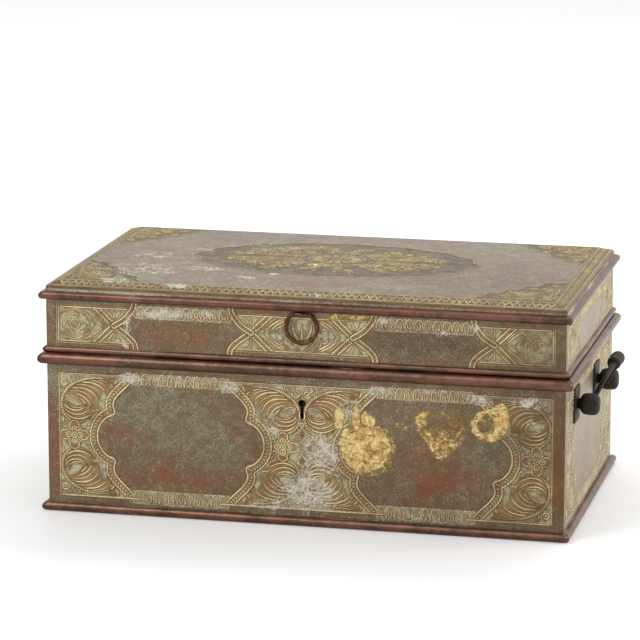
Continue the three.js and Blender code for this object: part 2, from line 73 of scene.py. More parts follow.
MM = 0.001
SEED = 7405
Point = tuple[float, float]
Array = np.ndarray
Window = tuple[slice, slice]
Rows = Sequence[Sequence[float]]
Material = bpy.types.Material
Socket = bpy.types.NodeSocket


class Swell(Enum):
    """How the width of a chased stroke changes from its start to its end."""

    EVEN = "even"
    LEAF = "leaf"
    TAIL = "tail"

    def width(self, share: Array) -> Array:
        """Gives the part of the full width at a share of the length.

        Args:
            share: places along the stroke, from 0 to 1.

        Returns:
            The width there as a share of the widest place.
        """
        if self is Swell.LEAF:
            return np.clip(np.sin(np.pi * np.clip(share, 0.02, 0.98)), 0, 1) ** 0.6
        if self is Swell.TAIL:
            return np.clip(1 - share, 0.0, 1) ** 0.55
        return np.ones_like(share)


class Side(Enum):
    """The upright sides, with the direction along each one and the direction out of it."""

    FRONT = (1.0, 0.0, 0.0, -1.0)
    RIGHT = (0.0, 1.0, 1.0, 0.0)
    BACK = (-1.0, 0.0, 0.0, 1.0)
    LEFT = (0.0, -1.0, -1.0, 0.0)

    @property
    def long(self) -> bool:
        """True for the front and the back."""
        return self in (Side.FRONT, Side.BACK)

    @property
    def half(self) -> float:
        """Half of the side's length over the corners."""
        return (BOX.length if self.long else BOX.depth) / 2

    def place(self, along: Array, out: Array, up: Array) -> Array:
        """Turns places on the side into places in the frame.

        Args:
            along: distance along the side from its middle.
            out: distance out from the wall's face.
            up: height above the floor.

        Returns:
            The points in metres, one row each.
        """
        ax, ay, ox, oy = self.value
        away = (BOX.depth if self.long else BOX.length) / 2 + out
        x, y = ax * along + ox * away, ay * along + oy * away
        return np.stack([x, y, up + 0 * x], axis=-1) * MM

    def put(self, points: Array) -> Array:
        """Turns rows of along, out and up into places in the frame, in millimetres."""
        return self.place(*points.T) / MM


@dataclass(frozen=True)
class Box:
    """Main sizes of the casket, shared by every piece."""

    length: float = 450.0
    depth: float = 263.5
    sheet: float = 1.5
    floor_sheet: float = 2.0
    base_top: float = 140.0
    lid_bottom: float = 140.3
    lid_top: float = 196.0
    plinth_height: float = 7.6
    rim_height: float = 10.0
    bead_height: float = 5.2
    cornice_bottom: float = 186.6
    cornice_height: float = 7.2
    panel_edge: float = 2.3
    border_width: float = 12.0
    border_rise: float = 3.9
    crown_rise: float = 3.3
    soft_edge: float = 1.0
    soft_edge_rise: float = 0.3

    def inset(self, x: Array, y: Array) -> Array:
        """Gives how far in from the nearest edge of the lid a place is."""
        return np.minimum(self.length / 2 - np.abs(x), self.depth / 2 - np.abs(y))

    def panel_top(self, x: Array, y: Array) -> Array:
        """Gives the height of the lid panel's upper face.

        Args:
            x, y: place along the box and across it.

        Returns:
            The height above the floor.
        """
        inset = self.inset(x, y)
        edge = self.lid_top + self.panel_edge
        soft = edge + self.soft_edge_rise * inset / self.soft_edge
        share = (inset - self.soft_edge) / (self.border_width - self.soft_edge)
        slope = edge + self.soft_edge_rise + (self.border_rise - self.soft_edge_rise) * share
        across = x / (self.length / 2 - self.border_width)
        over = y / (self.depth / 2 - self.border_width)
        crown = edge + self.border_rise + self.crown_rise * (1 - across**2) * (1 - over**2)
        height = np.where(inset < self.border_width, slope, crown)
        return np.where(inset < self.soft_edge, soft, height)


BOX = Box()


def smooth_path(points: Sequence[Point], steps: int = 6, closed: bool = False) -> Array:
    """Runs a smooth line through points.

    Args:
        points: the places that the line goes through.
        steps: straight pieces between two of the points.
        closed: True if the line comes back to its start.

    Returns:
        The points of the line, one row each.
    """
    at = np.asarray(points, float)
    if closed:
        at = np.vstack([at[-1], at, at[0], at[1]])
    else:
        at = np.vstack([2 * at[0] - at[1], at, 2 * at[-1] - at[-2]])
    a, b, c, d = at[:-3], at[1:-2], at[2:-1], at[3:]
    lines = [
        0.5 * (2 * b + (c - a) * share + (2 * a - 5 * b + 4 * c - d) * share**2
               + (3 * b - a - 3 * c + d) * share**3)
        for share in np.linspace(0, 1, steps, endpoint=False)
    ]
    return np.vstack([np.stack(lines, axis=1).reshape(-1, 2), c[-1:]])


def mirrored(half: Sequence[Point]) -> list[Point]:
    """Carries on a line that ends on the middle with its own mirror image."""
    return [*half, *((-u, v) for u, v in reversed(half[:-1]))]


def ring_path(u: float, v: float, radius: float, start: float = 0, sweep: float = 360) -> Array:
    """Gives the points of an arc.

    Args:
        u, v: the arc's centre.
        radius: its radius.
        start, sweep: the angle it starts at and the one it covers, in degrees.

    Returns:
        The points of the arc, one row each.
    """
    angle = np.radians(np.linspace(start, start + sweep, max(5, int(abs(sweep) / 18) + 1)))
    return np.stack([u + radius * np.cos(angle), v + radius * np.sin(angle)], axis=1)


def path_length(line: Array) -> float:
    """Gives the length of a line."""
    return np.hypot(*np.diff(line, axis=0).T).sum()


def even_noise(u: Array, v: Array, size: float, seed: int) -> Array:
    """Gives soft random ups and downs over a surface.

    Args:
        u, v: the places to give it for.
        size: how far apart the ups and downs are.
        seed: picks one of the random surfaces.

    Returns:
        Values from about -1 to 1.
    """
    draw = np.random.default_rng(SEED + seed)
    total = np.zeros(np.broadcast(u, v).shape)
    for _ in range(7):
        angle, phase = draw.uniform(0, 2 * np.pi, 2)
        wave = 2 * np.pi / (size * draw.uniform(0.7, 1.6))
        total += np.sin(wave * (u * np.cos(angle) + v * np.sin(angle)) + phase)
    return total / 3.2


@dataclass(frozen=True)
class Spot:
    """Where a motif is laid: its own zero point, and which ways it is turned over."""

    u: float
    v: float
    flip_u: float = 1.0
    flip_v: float = 1.0

    def lay(self, line: Array) -> Array:
        """Lays a line of the motif at this spot."""
        return line * (self.flip_u, self.flip_v) + (self.u, self.v)

    def path(self, points: Sequence[Point], steps: int = 4) -> Array:
        """Runs a smooth line through the motif's points, laid at this spot."""
        return self.lay(smooth_path(points, steps))

    def arc(
        self, u: float, v: float, radius: float, start: float = 0, sweep: float = 360
    ) -> Array:
        """Gives the points of an arc of the motif, laid at this spot."""
        return self.lay(ring_path(u, v, radius, start, sweep))


class Relief:
    """A drawing board for chased work: a height and finish masks on an even grid."""

    COARSE = 4
    FAR = 1e9

    def __init__(self, left: float, right: float, bottom: float, top: float, pitch: float) -> None:
        """Lays out the grid.

        Args:
            left, right: ends of the sheet along its length.
            bottom, top: ends of the sheet across it.
            pitch: about how far apart the grid's points are.
        """
        self.across = self.COARSE * max(1, round((right - left) / pitch / self.COARSE))
        self.up = self.COARSE * max(1, round((top - bottom) / pitch / self.COARSE))
        self.left, self.bottom = left, bottom
        self.step_u = (right - left) / self.across
        self.step_v = (top - bottom) / self.up
        line_u = left + self.step_u * np.arange(self.across + 1)
        line_v = bottom + self.step_v * np.arange(self.up + 1)
        self.u, self.v = np.meshgrid(line_u, line_v)
        self.height, self.bright, self.dark, self.sunk = np.zeros((4, *self.u.shape))
        self.crust, self.bare, self.tone, self.shade = np.zeros((4, *self.u.shape))

    def near(self, line: Array, margin: float) -> tuple[Window, Array, Array]:
        """Measures the grid's points that a line can touch against that line.

        Args:
            line: the line's points.
            margin: how far from the line the work reaches.

        Returns:
            The rows and columns, and for each point there the distance from the line and the
            place along it.
        """
        low, high = line.min(axis=0) - margin, line.max(axis=0) + margin
        where = tuple(
            slice(max(0, int((low[k] - first) / step)),
                  max(0, min(count, int((high[k] - first) / step) + 1) + 1))
            for k, first, step, count in ((1, self.bottom, self.step_v, self.up),
                                          (0, self.left, self.step_u, self.across))
        )
        u, v = self.u[where], self.v[where]
        gap, along = np.full(u.shape, self.FAR), np.zeros(u.shape)
        start = 0.0
        for a, b in zip(line[:-1], line[1:]):
            run, rise = b - a
            length = math.hypot(run, rise)
            if length < 1e-9:
                continue
            du, dv = u - a[0], v - a[1]
            share = np.clip((du * run + dv * rise) / length**2, 0, 1)
            away = np.hypot(du - share * run, dv - share * rise)
            nearer = away < gap
            gap = np.where(nearer, away, gap)
            along = np.where(nearer, start + share * length, along)
            start += length
        return where, gap, along

    def ridge(
        self, line: Array, width: float, rise: float = 0.4, swell: Swell = Swell.EVEN,
        beads: float = 0.0, rim: float = 0.75,
    ) -> None:
        """Lays a rounded ridge over what is there, with a dark cut along both edges.

        Args:
            line: the ridge's centre line.
            width: its full width.
            rise: how far its middle stands above the sheet.
            swell: how its width changes along it.
            beads: distance between its beads, or 0 for a plain ridge.
            rim: width of the dark cut beside it.
        """
        where, gap, along = self.near(line, width / 2 + rim + self.step_u)
        half = width / 2 * swell.width(along / path_length(line))
        inside = np.clip((half - gap) / 0.5 + 0.3, 0, 1)
        share = np.clip(gap / np.maximum(half, 0.05), 0, 1)
        broad = 0.0 if beads else min(1.0, max(0.0, (width - 1.5) / 0.6))
        own = rise * (np.sqrt(1 - 0.85 * share**2) - broad * 0.25 * (1 - share) ** 2)
        fluted = 0.5 + 0.5 * np.clip((share - 0.35) / 0.3, 0, 1)
        shine = (1 - 0.3 * share**2) * (1 - broad) + fluted * broad
        if beads:
            bead = 0.5 + 0.5 * np.cos(2 * np.pi * along / beads)
            own = own * (0.72 + 0.28 * bead)
            shine = shine * (0.45 + 0.55 * bead)
        cut = 0.8 * np.clip(1 - np.abs(gap - half - rim * 0.4) / (rim * 0.65), 0, 1)
        cut = cut * (half > 0.12)
        height = self.height[where] * (1 - 0.8 * cut) - 0.22 * cut
        self.blend(where, inside, height, own, cut, (1 - shine) * 0.35, cut, shine)

    def blend(
        self, where: Window, inside: Array, height: Array, own: Array, cut: Array,
        dark: Array, worn_off: Array, shine: Array,
    ) -> None:
        """Lays a stroke over what is there.

        Args:
            where: the rows and columns that it touches.
            inside: how much of each point it covers.
            height, own: the heights beside it and on it.
            cut, dark: how dark it makes the places beside it and on it.
            worn_off: how much of the brightness beside it goes.
            shine: its own brightness.
        """
        self.height[where] = height * (1 - inside) + own * inside
        self.dark[where] = np.maximum(self.dark[where], cut) * (1 - inside) + dark * inside
        self.bright[where] = (self.bright[where] * (1 - worn_off) * (1 - inside)
                              + shine * inside)
        self.sunk[where] *= 1 - inside

    def band(
        self, line: Array, width: float, period: float = 3.0,
        between: tuple[float, float] = (-math.inf, math.inf),
    ) -> None:
        """Lays a flat band with chevrons chased in it, between two raised lines.

        Args:
            line: the band's centre line.
            width: its full width, over the raised lines.
            period: distance between two chevrons.
            between: the levels that the band is cut off at.
        """
        where, gap, along = self.near(line, width / 2 + 1.2)
        half = width / 2
        kept = (self.v[where] > between[0]) & (self.v[where] < between[1])
        inside = np.clip((half - gap) / 0.5 + 0.3, 0, 1) * kept
        outer = np.clip(1 - np.abs(gap - half - 0.35) / 0.7, 0, 1) * kept
        wave = 0.5 + 0.5 * np.cos(2 * np.pi * (along + gap * 0.9) / period)
        edge = np.clip(1 - np.abs(gap - half + 0.7) / 0.85, 0, 1)
        inner = np.clip(1 - np.abs(gap - half + 1.9) / 0.6, 0, 1)
        spine = np.clip(1 - gap / 0.6, 0, 1)
        own = 0.05 + 0.17 * wave - 0.16 * inner - 0.1 * spine
        dark = np.clip(0.42 * (1 - wave) + 0.3 * inner + 0.2 * spine, 0, 1) * (1 - edge)
        shine = np.clip(0.38 + 0.4 * wave + 0.5 * edge - 0.3 * inner, 0, 1)
        self.blend(where, inside, self.height[where] * (1 - outer) - 0.2 * outer,
                   own * (1 - edge) + 0.34 * edge, 0.8 * outer, dark, outer, shine)

    def strokes(
        self, spot: Spot, rows: Iterable[Sequence], steps: int = 5, beads: float = 0.0,
        rim: float = 0.75,
    ) -> None:
        """Lays the leaf-shaped strokes of a motif, in their order.

        Args:
            spot: where the motif is laid.
            rows: for each stroke its width, how far it stands up, and then its points.
            steps: straight pieces between two of the points.
            beads, rim: as for a ridge.
        """
        for width, rise, *points in rows:
            self.ridge(spot.path(points, steps), width, rise, Swell.LEAF, beads, rim)

    def hollow(self, line: Array, width: float) -> None:
        """Presses a smooth leaf-shaped hollow of bare ground into the work.

        Args:
            line: the hollow's centre line.
            width: its full width.
        """
        where, gap, along = self.near(line, width / 2 + 1)
        half = width / 2 * Swell.LEAF.width(along / path_length(line))
        inside = np.clip((half - gap) / 0.6 + 0.4, 0, 1)
        self.height[where] = self.height[where] * (1 - inside) - 0.3 * inside
        self.sunk[where] = np.maximum(self.sunk[where] * (1 - inside), inside)
        self.bright[where] *= 1 - inside
        self.dark[where] *= 1 - 0.8 * inside

    def inside(self, outline: Array) -> Array:
        """Tells which of the grid's points an outline holds.

        Args:
            outline: the closed outline's points.

        Returns:
            True for each point inside it.
        """
        held = np.zeros(self.u.shape, bool)
        for a, b in zip(outline, np.roll(outline, -1, axis=0)):
            if a[1] != b[1]:
                at = a[0] + (self.v - a[1]) * (b[0] - a[0]) / (b[1] - a[1])
                held ^= ((a[1] > self.v) != (b[1] > self.v)) & (self.u < at)
        return held

    def leaf_body(self, outline: Array, shine: float = 0.4) -> None:
        """Raises the body of a leaf out of the ground, for its feathers to be laid on.

        Args:
            outline: the closed edge of the leaf.
            shine: how worn its metal is.
        """
        where = self.inside(outline)
        self.height[where], self.sunk[where], self.bright[where] = 0.06, 0.0, shine
        self.ridge(np.vstack([outline, outline[:1]]), 1.0, 0.3, rim=0.5)

    def scrape(self, outline: Sequence[Point], bare: float) -> None:
        """Rubs an area down towards bare metal, with a narrow soft edge.

        Args:
            outline: the closed edge of the area.
            bare: how bare it is.
        """
        held = self.inside(smooth_path(outline, 5, closed=True)).astype(float)
        for _ in range(6):
            beside = [np.roll(held, step, axis) for step in (1, -1) for axis in (0, 1)]
            held = (held + sum(beside)) / 5
        self.bare += (bare - self.bare) * held

    def sink(self, where: Array, depth: float) -> None:
        """Lowers the marked points to the ground of the ornament."""
        self.height[where], self.sunk[where] = -depth, 1.0

    def patch(self, u: float, v: float, wide: float, high: float, strength: float = 1.0) -> Array:
        """Gives a soft-edged oval patch, by its middle, its reach both ways and its strength."""
        a, b = (self.u - u) / wide, (self.v - v) / high
        return strength * np.clip(1.5 * (1 - np.sqrt(a * a + b * b)), 0, 1)

    def stain(self, crust: Rows = (), bare: Rows = (), tone: Rows = (), shade: Rows = ()) -> None:
        """Lays the patches of crust, bare metal and patina.

        Args:
            crust: chalky white patches.
            bare: patches rubbed down to yellow metal.
            tone: patches of grey-green patina, or of red where the strength is negative.
            shade: patches of painted shade, darker and browner patina laid for the fall of light.
        """
        for rows, mask in ((crust, self.crust), (bare, self.bare), (shade, self.shade)):
            for row in rows:
                np.maximum(mask, self.patch(*row), out=mask)
        for row in tone:
            self.tone += self.patch(*row)


class Body(Enum):
    """The bodies that the pieces ride on."""

    BASE = "base"
    LID = "lid"
    RING = "ring"
    BOLT = "bolt"
    LEFT_BAIL = "left_bail"
    RIGHT_BAIL = "right_bail"


@dataclass
class Solid:
    """A mesh in the making: points in metres, faces, and a finish for each face."""

    points: Array
    faces: list[Sequence[int]]
    finishes: list[int] = field(default_factory=list)
    flat: set[int] = field(default_factory=set)
    marks: dict[str, Array] = field(default_factory=dict)

    def joined(self, other: Solid) -> Solid:
        """Puts two solids of one finish into one mesh without welding them.

        Args:
            other: the second solid.

        Returns:
            Both of them.
        """
        count = len(self.points)
        faces = [[i + count for i in face] for face in other.faces]
        flat = self.flat | {i + len(self.faces) for i in other.flat}
        return Solid(np.vstack([self.points, other.points]), [*self.faces, *faces], flat=flat)

    def moved(self, place: Callable[[Array], Array]) -> Solid:
        """Gives the solid with its points, in millimetres, put where the function says."""
        return replace(self, points=place(self.points / MM) * MM)

    def make(self, name: str, body: Body, materials: Sequence[Material], node: str) -> None:
        """Makes the scene object, puts it on its body and hides what it stands for.

        Args:
            name: the piece's name.
            body: the body that it moves with.
            materials: the materials, in the order that the faces' finishes count.
            node: the CAD node that it replaces.
        """
        mesh = bpy.data.meshes.new(name)
        mesh.from_pydata(self.points.tolist(), [], [list(map(int, face)) for face in self.faces])
        smooth = np.ones(len(self.faces), bool)
        smooth[list(self.flat)] = False
        mesh.polygons.foreach_set("use_smooth", smooth)
        if self.finishes:
            mesh.polygons.foreach_set("material_index", self.finishes)
        for mark, values in self.marks.items():
            layer = mesh.attributes.new(mark, "FLOAT_COLOR", "POINT")
            layer.data.foreach_set("color", values.astype(np.float32).ravel())
        for material in materials:
            mesh.materials.append(material)
        mesh.validate(clean_customdata=False)
        mesh.update()
        piece = bpy.data.objects.new(name, mesh)
        bpy.context.scene.collection.objects.link(piece)
        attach(piece, body.value)
        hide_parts(node)
        log.info("%s: %d faces on %s", name, len(self.faces), body.value)


@dataclass
class Sheet:
    """A brass sheet with chased work on one face, closed all round and pierced by its holes."""

    board: Relief
    place: Callable[[Array, Array, Array], Array]
    holes: Sequence[Array] = ()

    def solid(self) -> Solid:
        """Builds the sheet: fine cells where it is worked, and coarse ones where it is plain.

        Returns:
            The closed solid, with the finish masks as its marks.
        """
        board = self.board
        gone = self.pierce()
        busy = self.busy(gone)
        front, edges = self.cells(busy, busy, gone)
        back, _ = self.cells(self.near_holes(gone), busy, gone)
        count = board.u.size
        face = self.place(board.u, board.height, board.v).reshape(-1, 3)
        rear = self.place(board.u, np.full(board.u.shape, -BOX.sheet), board.v).reshape(-1, 3)
        rims = [(b, a, a + count, b + count) for a, b in edges]
        turned_over = [[i + count for i in reversed(cell)] for cell in back]
        faces = front + turned_over + rims
        used = np.zeros(2 * count, bool)
        used[np.concatenate([np.asarray(f) for f in faces])] = True
        number = np.cumsum(used) - 1
        return Solid(
            np.vstack([face, rear])[used],
            [number[list(f)].tolist() for f in faces],
            [0] * len(front) + [1] * (len(turned_over) + len(rims)),
            set(range(len(front) + len(turned_over), len(faces))),
            self.marks(used),
        )

    def marks(self, used: Array) -> dict[str, Array]:
        """Packs the finish masks, four to a colour.

        Args:
            used: True for each point that the mesh keeps, of the face and then of the rear.

        Returns:
            The colours of the kept points, by the name that the materials read them by.
        """
        board = self.board
        packs = (
            # The fourth chased mask is painted shade.
            ("chased", (board.bright, board.dark, board.sunk, board.shade), (0, 0, 0, 0)),
            ("worn", (board.crust, board.bare, board.tone * 0.5 + 0.5, board.u * 0 + 1),
             (0, 0, 0.5, 1)),
        )
        return {
            name: np.vstack([np.stack(masks, axis=-1).reshape(-1, 4),
                             np.tile(plain, (board.u.size, 1))])[used]
            for name, masks, plain in packs
        }

    def pierce(self) -> Array:
        """Draws the points inside each hole out to its edge.

        Returns:
            True for each point in a hole or on its edge.
        """
        board = self.board
        gone = np.zeros(board.u.shape, bool)
        for hole in self.holes:
            inside = board.inside(hole)
            run = np.roll(hole, -1, axis=0) - hole
            length = np.maximum((run**2).sum(axis=1), 1e-12)
            for row, column in zip(*np.nonzero(inside)):
                if inside[max(0, row - 1):row + 2, max(0, column - 1):column + 2].all():
                    continue
                at = np.array([board.u[row, column], board.v[row, column]])
                share = np.clip(((at - hole) * run).sum(axis=1) / length, 0, 1)
                on = hole + share[:, None] * run
                nearest = np.argmin(((on - at) ** 2).sum(axis=1))
                board.u[row, column], board.v[row, column] = on[nearest]
                board.height[row, column] = min(0.0, board.height[row, column])
            gone |= inside
        return gone

    def busy(self, gone: Array) -> Array:
        """Finds the coarse cells that hold chased work or a hole."""
        board = self.board
        work = (np.abs(board.height) > 0.01) | (board.bright > 0.03) | (board.dark > 0.03)
        work |= (board.sunk > 0.03) | (board.crust > 0.3)
        return self.coarse(work) | self.near_holes(gone)

    def near_holes(self, gone: Array) -> Array:
        """Finds the coarse cells at the holes."""
        shifts = [np.roll(gone, step, axis) for step in (-1, 1) for axis in (0, 1)]
        return self.coarse(np.logical_or.reduce([gone, *shifts]))

    def coarse(self, points: Array) -> Array:
        """Finds the coarse cells that touch any of the marked points.

        Args:
            points: True for each marked point.

        Returns:
            True for each coarse cell with one of them in it or on its edge.
        """
        size = Relief.COARSE
        rows, columns = self.board.up, self.board.across
        return np.logical_or.reduce([
            points[down:down + rows:size, over:over + columns:size]
            for down in range(size + 1) for over in range(size + 1)
        ])

    def cells(
        self, busy: Array, rims: Array, gone: Array
    ) -> tuple[list[list[int]], list[tuple[int, int]]]:
        """Lays out the faces of one side of the sheet.

        Args:
            busy: the coarse cells that are split up.
            rims: the coarse cells whose outer edge is split up where they lie along the border.
            gone: the points that are in holes.

        Returns:
            The faces, and the edges that only one face has, in that face's direction.
        """
        size, wide = Relief.COARSE, self.board.across + 1
        fine = np.repeat(np.repeat(busy, size, axis=0), size, axis=1)
        open_cell = gone[:-1, :-1] & gone[1:, :-1] & gone[:-1, 1:] & gone[1:, 1:]
        rows, columns = np.nonzero(fine & ~open_cell)
        first = rows * wide + columns
        quads = np.stack([first, first + 1, first + 1 + wide, first + wide], axis=1)
        polygons: list[list[int]] = []
        tall, broad = busy.shape
        walk = ((0, 0, -1, 0, 1), (0, 1, 0, 1, wide), (1, 1, 1, 0, -1), (1, 0, 0, -1, -wide))
        for row, column in zip(*np.nonzero(~busy)):
            polygon = []
            for down, over, r, c, step in walk:
                corner = (row + down) * size * wide + (column + over) * size
                r, c = row + r, column + c
                held = 0 <= r < tall and 0 <= c < broad
                split = busy[r, c] if held else rims[row, column]
                polygon += [corner + i * step for i in range(size if split else 1)]
            polygons.append(polygon)
        loops = [quads] + [np.array([p]) for p in polygons]
        starts = np.concatenate([a.ravel() for a in loops])
        ends = np.concatenate([np.roll(a, -1, axis=1).ravel() for a in loops])
        key = np.minimum(starts, ends) * self.board.u.size + np.maximum(starts, ends)
        _, where, times = np.unique(key, return_index=True, return_counts=True)
        single = where[times == 1]
        edges = list(zip(starts[single].tolist(), ends[single].tolist()))
        return quads.tolist() + polygons, edges


def loft(
    rings: Array, flat_ends: bool = True, flat_sides: bool = False, reverse: bool = False
) -> Solid:
    """Joins rings of points into a closed solid.

    Args:
        rings: the points in metres, one ring behind the other, turning left as seen from
            beyond the last one.
        flat_ends, flat_sides: whether the ends and the sides are shaded flat.
        reverse: True if the rings turn right.

    Returns:
        The closed solid.
    """
    count, n = rings.shape[:2]
    number = np.arange(count * n).reshape(count, n)
    after = np.roll(number, -1, axis=1)
    corners = [number[:-1], after[:-1], after[1:], number[1:]]
    ends = [number[0, ::-1], number[-1]]
    if reverse:
        corners = [corners[i] for i in (0, 3, 2, 1)]
        ends = [end[::-1] for end in ends]
    faces = [ends[0], *np.stack(corners, axis=-1).reshape(-1, 4), ends[1]]
    last = len(faces) - 1
    flat = ({0, last} if flat_ends else set()) | (set(range(1, last)) if flat_sides else set())
    return Solid(rings.reshape(-1, 3), faces, flat=flat)


def tube(path: Array, radius: Array | float, around: int) -> Solid:
    """Sweeps a round section along a path and closes it with domed ends.

    Args:
        path: the centre line in millimetres, one row a point.
        radius: the section's radius, or one for each point.
        around: points around the section.

    Returns:
        The closed solid, in metres.
    """
    size = np.broadcast_to(np.asarray(radius, float), (len(path),))
    run = np.gradient(path, axis=0)
    run /= np.linalg.norm(run, axis=1)[:, None]
    side = np.cross(run[0], (0.0, 0.0, 1.0))
    if np.linalg.norm(side) < 0.1:
        side = np.cross(run[0], (0.0, 1.0, 0.0))
    side /= np.linalg.norm(side)
    sides = []
    for direction in run:
        side = side - direction * (side @ direction)
        side = side / np.linalg.norm(side)
        sides.append(side)
    angle = 2 * np.pi * np.arange(around) / around
    spokes = (np.array(sides)[:, None] * np.cos(angle)[:, None]
              + np.cross(run, sides)[:, None] * np.sin(angle)[:, None]) * size[:, None, None]

    def dome(end: int, way: int) -> list[Array]:
        """Gives the rings of a low dome, from the end of the path outwards."""
        return [path[end] + spokes[end] * math.sqrt(1 - share**2)
                + run[end] * (way * size[end] * share * 0.5) for share in (0.35, 0.65, 0.9)]

    rings = [*dome(0, -1)[::-1], *(path[:, None] + spokes), *dome(-1, 1)]
    return loft(np.array(rings) * MM, flat_ends=False)


def turned(profile: Sequence[Point], around: int) -> Solid:
    """Turns a profile round the Z axis.

    Args:
        profile: radius and height of each point, from one end to the other, ending on the axis.
        around: points around the axis.

    Returns:
        The closed solid, in metres.
    """
    angle = 2 * np.pi * np.arange(around) / around
    points, rings = [], []
    for radius, height in profile:
        if radius < 1e-4:
            rings.append([len(points)] * around)
            points.append((0.0, 0.0, height))
            continue
        rings.append(list(range(len(points), len(points) + around)))
        points += [(radius * math.cos(a), radius * math.sin(a), height) for a in angle]
    faces = [
        tuple(dict.fromkeys((low[j - 1], low[j], high[j], high[j - 1])))
        for low, high in zip(rings[:-1], rings[1:]) for j in range(around)
    ]
    return Solid(np.array(points) * MM, [f for f in faces if len(f) > 2])


def plate(wide: float, high: float, round_off: float, sheet: float, bevel: float) -> Solid:
    """Builds a plate with rounded corners and a small round along its upper edge.

    Args:
        wide, high: half of its size both ways.
        round_off: the radius of its corners.
        sheet: its thickness.
        bevel: size of the round along the upper edge.

    Returns:
        The closed solid, in metres, drawn flat on X and Y.
    """
    outline = []
    for across, up in ((-1, -1), (1, -1), (1, 1), (-1, 1)):
        corner = np.array([across * wide, up * high])
        start, end = corner - (0, up * round_off), corner - (across * round_off, 0)
        if across != up:
            start, end = end, start
        outline += [(1 - s) ** 2 * start + 2 * s * (1 - s) * corner + s**2 * end
                    for s in np.linspace(0, 1, 6)]
    outline = np.array(outline)
    spoke = -outline / np.linalg.norm(outline, axis=1)[:, None]
    rings = [np.column_stack([outline + spoke * inset, np.full(len(outline), z)])
             for inset, z in ((0.0, 0.0), (0.0, sheet - bevel),
                              (0.3 * bevel, sheet - 0.3 * bevel), (bevel, sheet))]
    return loft(np.array(rings) * MM)


@dataclass
class Cartouche:
    """The lobed plain field of a base wall, with the chevron band round it."""

    middle: float
    half: float
    level: float = 68.0
    rise: float = 46.6
    band: float = 7.4
    lobe: float = 20.5
    shoulder: tuple[Point, ...] = (
        (-15.5, 20.6), (-15.3, 23.4), (-14.4, 28.4), (-15.8, 33.2), (-20.3, 38.9), (-26, 44.4),
        (-30.8, 49.4), (-34.4, 54.4),
    )

    def sides(self, out: float) -> list[Array]:
        """Gives the right and left lines of the outline, from the bottom frame to the top one.

        Args:
            out: how far outside the outline the lines run.

        Returns:
            Both lines, laid in place.
        """
        up = [(self.half - self.lobe + (self.lobe + out) * math.cos(a),
               (self.lobe + out) * math.sin(a)) for a in np.radians([0, 18, 36, 54, 70])]
        for across, rise in self.shoulder:
            share = (rise - 20.6) / 34
            up.append((self.half + across + out * (1 - 0.25 * share), rise + out * 0.55 * share))
        line = smooth_path([(u, -v) for u, v in reversed(up[1:])] + up, 5)
        return [line * (flip, 1) + (self.middle, self.level) for flip in (1, -1)]

    def whole(self) -> Array:
        """Gives the closed edge of everything inside the band, up to the frame."""
        right, left = self.sides(self.band / 2)
        return np.vstack([right, left[::-1]])


LEAF_EDGE = (
    (50.6, 2.2), (40, 2.4), (29, 2.6), (17.6, 5.4), (8, 11.4), (2.5, 19.8), (1.2, 28.7),
    (4.4, 37.6), (11.8, 42.8), (20.7, 42.6), (28, 39.2), (31.6, 34.6), (30, 31.4), (33.6, 31.6),
    (36.4, 28.4), (35.4, 25), (39, 24.6), (41.2, 21), (40, 17.4), (43.6, 17.4), (46.6, 13.4),
    (45.6, 10), (49.8, 8),
)
CURLS_BELOW = (
    (1.7, 0.38, (1.6, 12.5), (6, 13.5), (10.5, 9.5), (11.2, 2)),
    (1.4, 0.36, (9, 14), (13.6, 9), (14.2, 2)),
)
FEATHERS = (
    (1.1, 0.42, (19, 5.4), (29, 5.2), (39, 7.6), (45.6, 13.6)),
    (1.0, 0.42, (24, 4.2), (34, 4.4), (43, 6.4), (48, 9.8)),
    (1.6, 0.42, (14, 8.2), (22, 6.9), (32, 8), (39.4, 12.4), (42.6, 19)),
    (1.1, 0.42, (10.5, 11), (18, 9.4), (28, 10.4), (35.6, 15.6), (38.4, 23.5)),
    (1.7, 0.42, (7.4, 13.6), (14.6, 12.4), (24.6, 13.2), (32.2, 18.6), (35.2, 27.4)),
    (1.1, 0.42, (5.4, 16.4), (12, 15), (21.4, 16), (28.8, 21.4), (32.4, 31)),
    (1.4, 0.42, (13, 17.6), (19.4, 18.8), (25.6, 23.4), (28.6, 30.4)),
    (1.3, 0.42, (17.6, 20.4), (21.4, 23.4), (24.6, 28.4)),
)
EYE = ((5.4, 20), (9, 19), (14, 20.6), (18.6, 25), (18.4, 28.6), (12.4, 27.8), (7.4, 24.8),
       (5.4, 20))
LINES_OVER_EYE = (
    (1.5, 0.45, (4.4, 24), (6.5, 29.4), (12, 32), (18.5, 31.6), (24.5, 27)),
    (1.6, 0.45, (2.6, 25), (4.4, 33.4), (10.5, 38.6), (18.5, 39.6), (26, 36.8), (31.4, 33.6)),
    (1.3, 0.42, (3.6, 24.4), (5.4, 31.4), (11.2, 35.2), (18.4, 35.6), (25.4, 32), (30, 27.6)),
    (1.2, 0.4, (7, 24.8), (12.4, 29.6), (19, 29.4), (23.6, 26)),
)
SWEEP = (2.5, 0.5, (49, 2.6), (40, 3), (29, 3.3), (18, 6.2), (8.6, 12), (3.2, 20), (1.9, 28.5),
         (5, 37), (12, 41.9), (20.5, 41.6), (27.4, 38))
BUDS_ABOVE = (
    (1.5, 0.36, (2, 44.5), (3.6, 40.4), (2.2, 36.5)),
    (1.7, 0.38, (24, 45.6), (28, 43), (27.2, 38.6)),
)
BUDS_BESIDE = (
    (1.3, 0.36, (34, 33), (38.4, 35.4), (41.5, 40)),
    (1.7, 0.4, (44, 6.6), (47.6, 9.4), (46.4, 14.6), (44, 19)),
    (1.5, 0.36, (51.4, 1.7), (51, 5.4), (48.6, 8)),
)


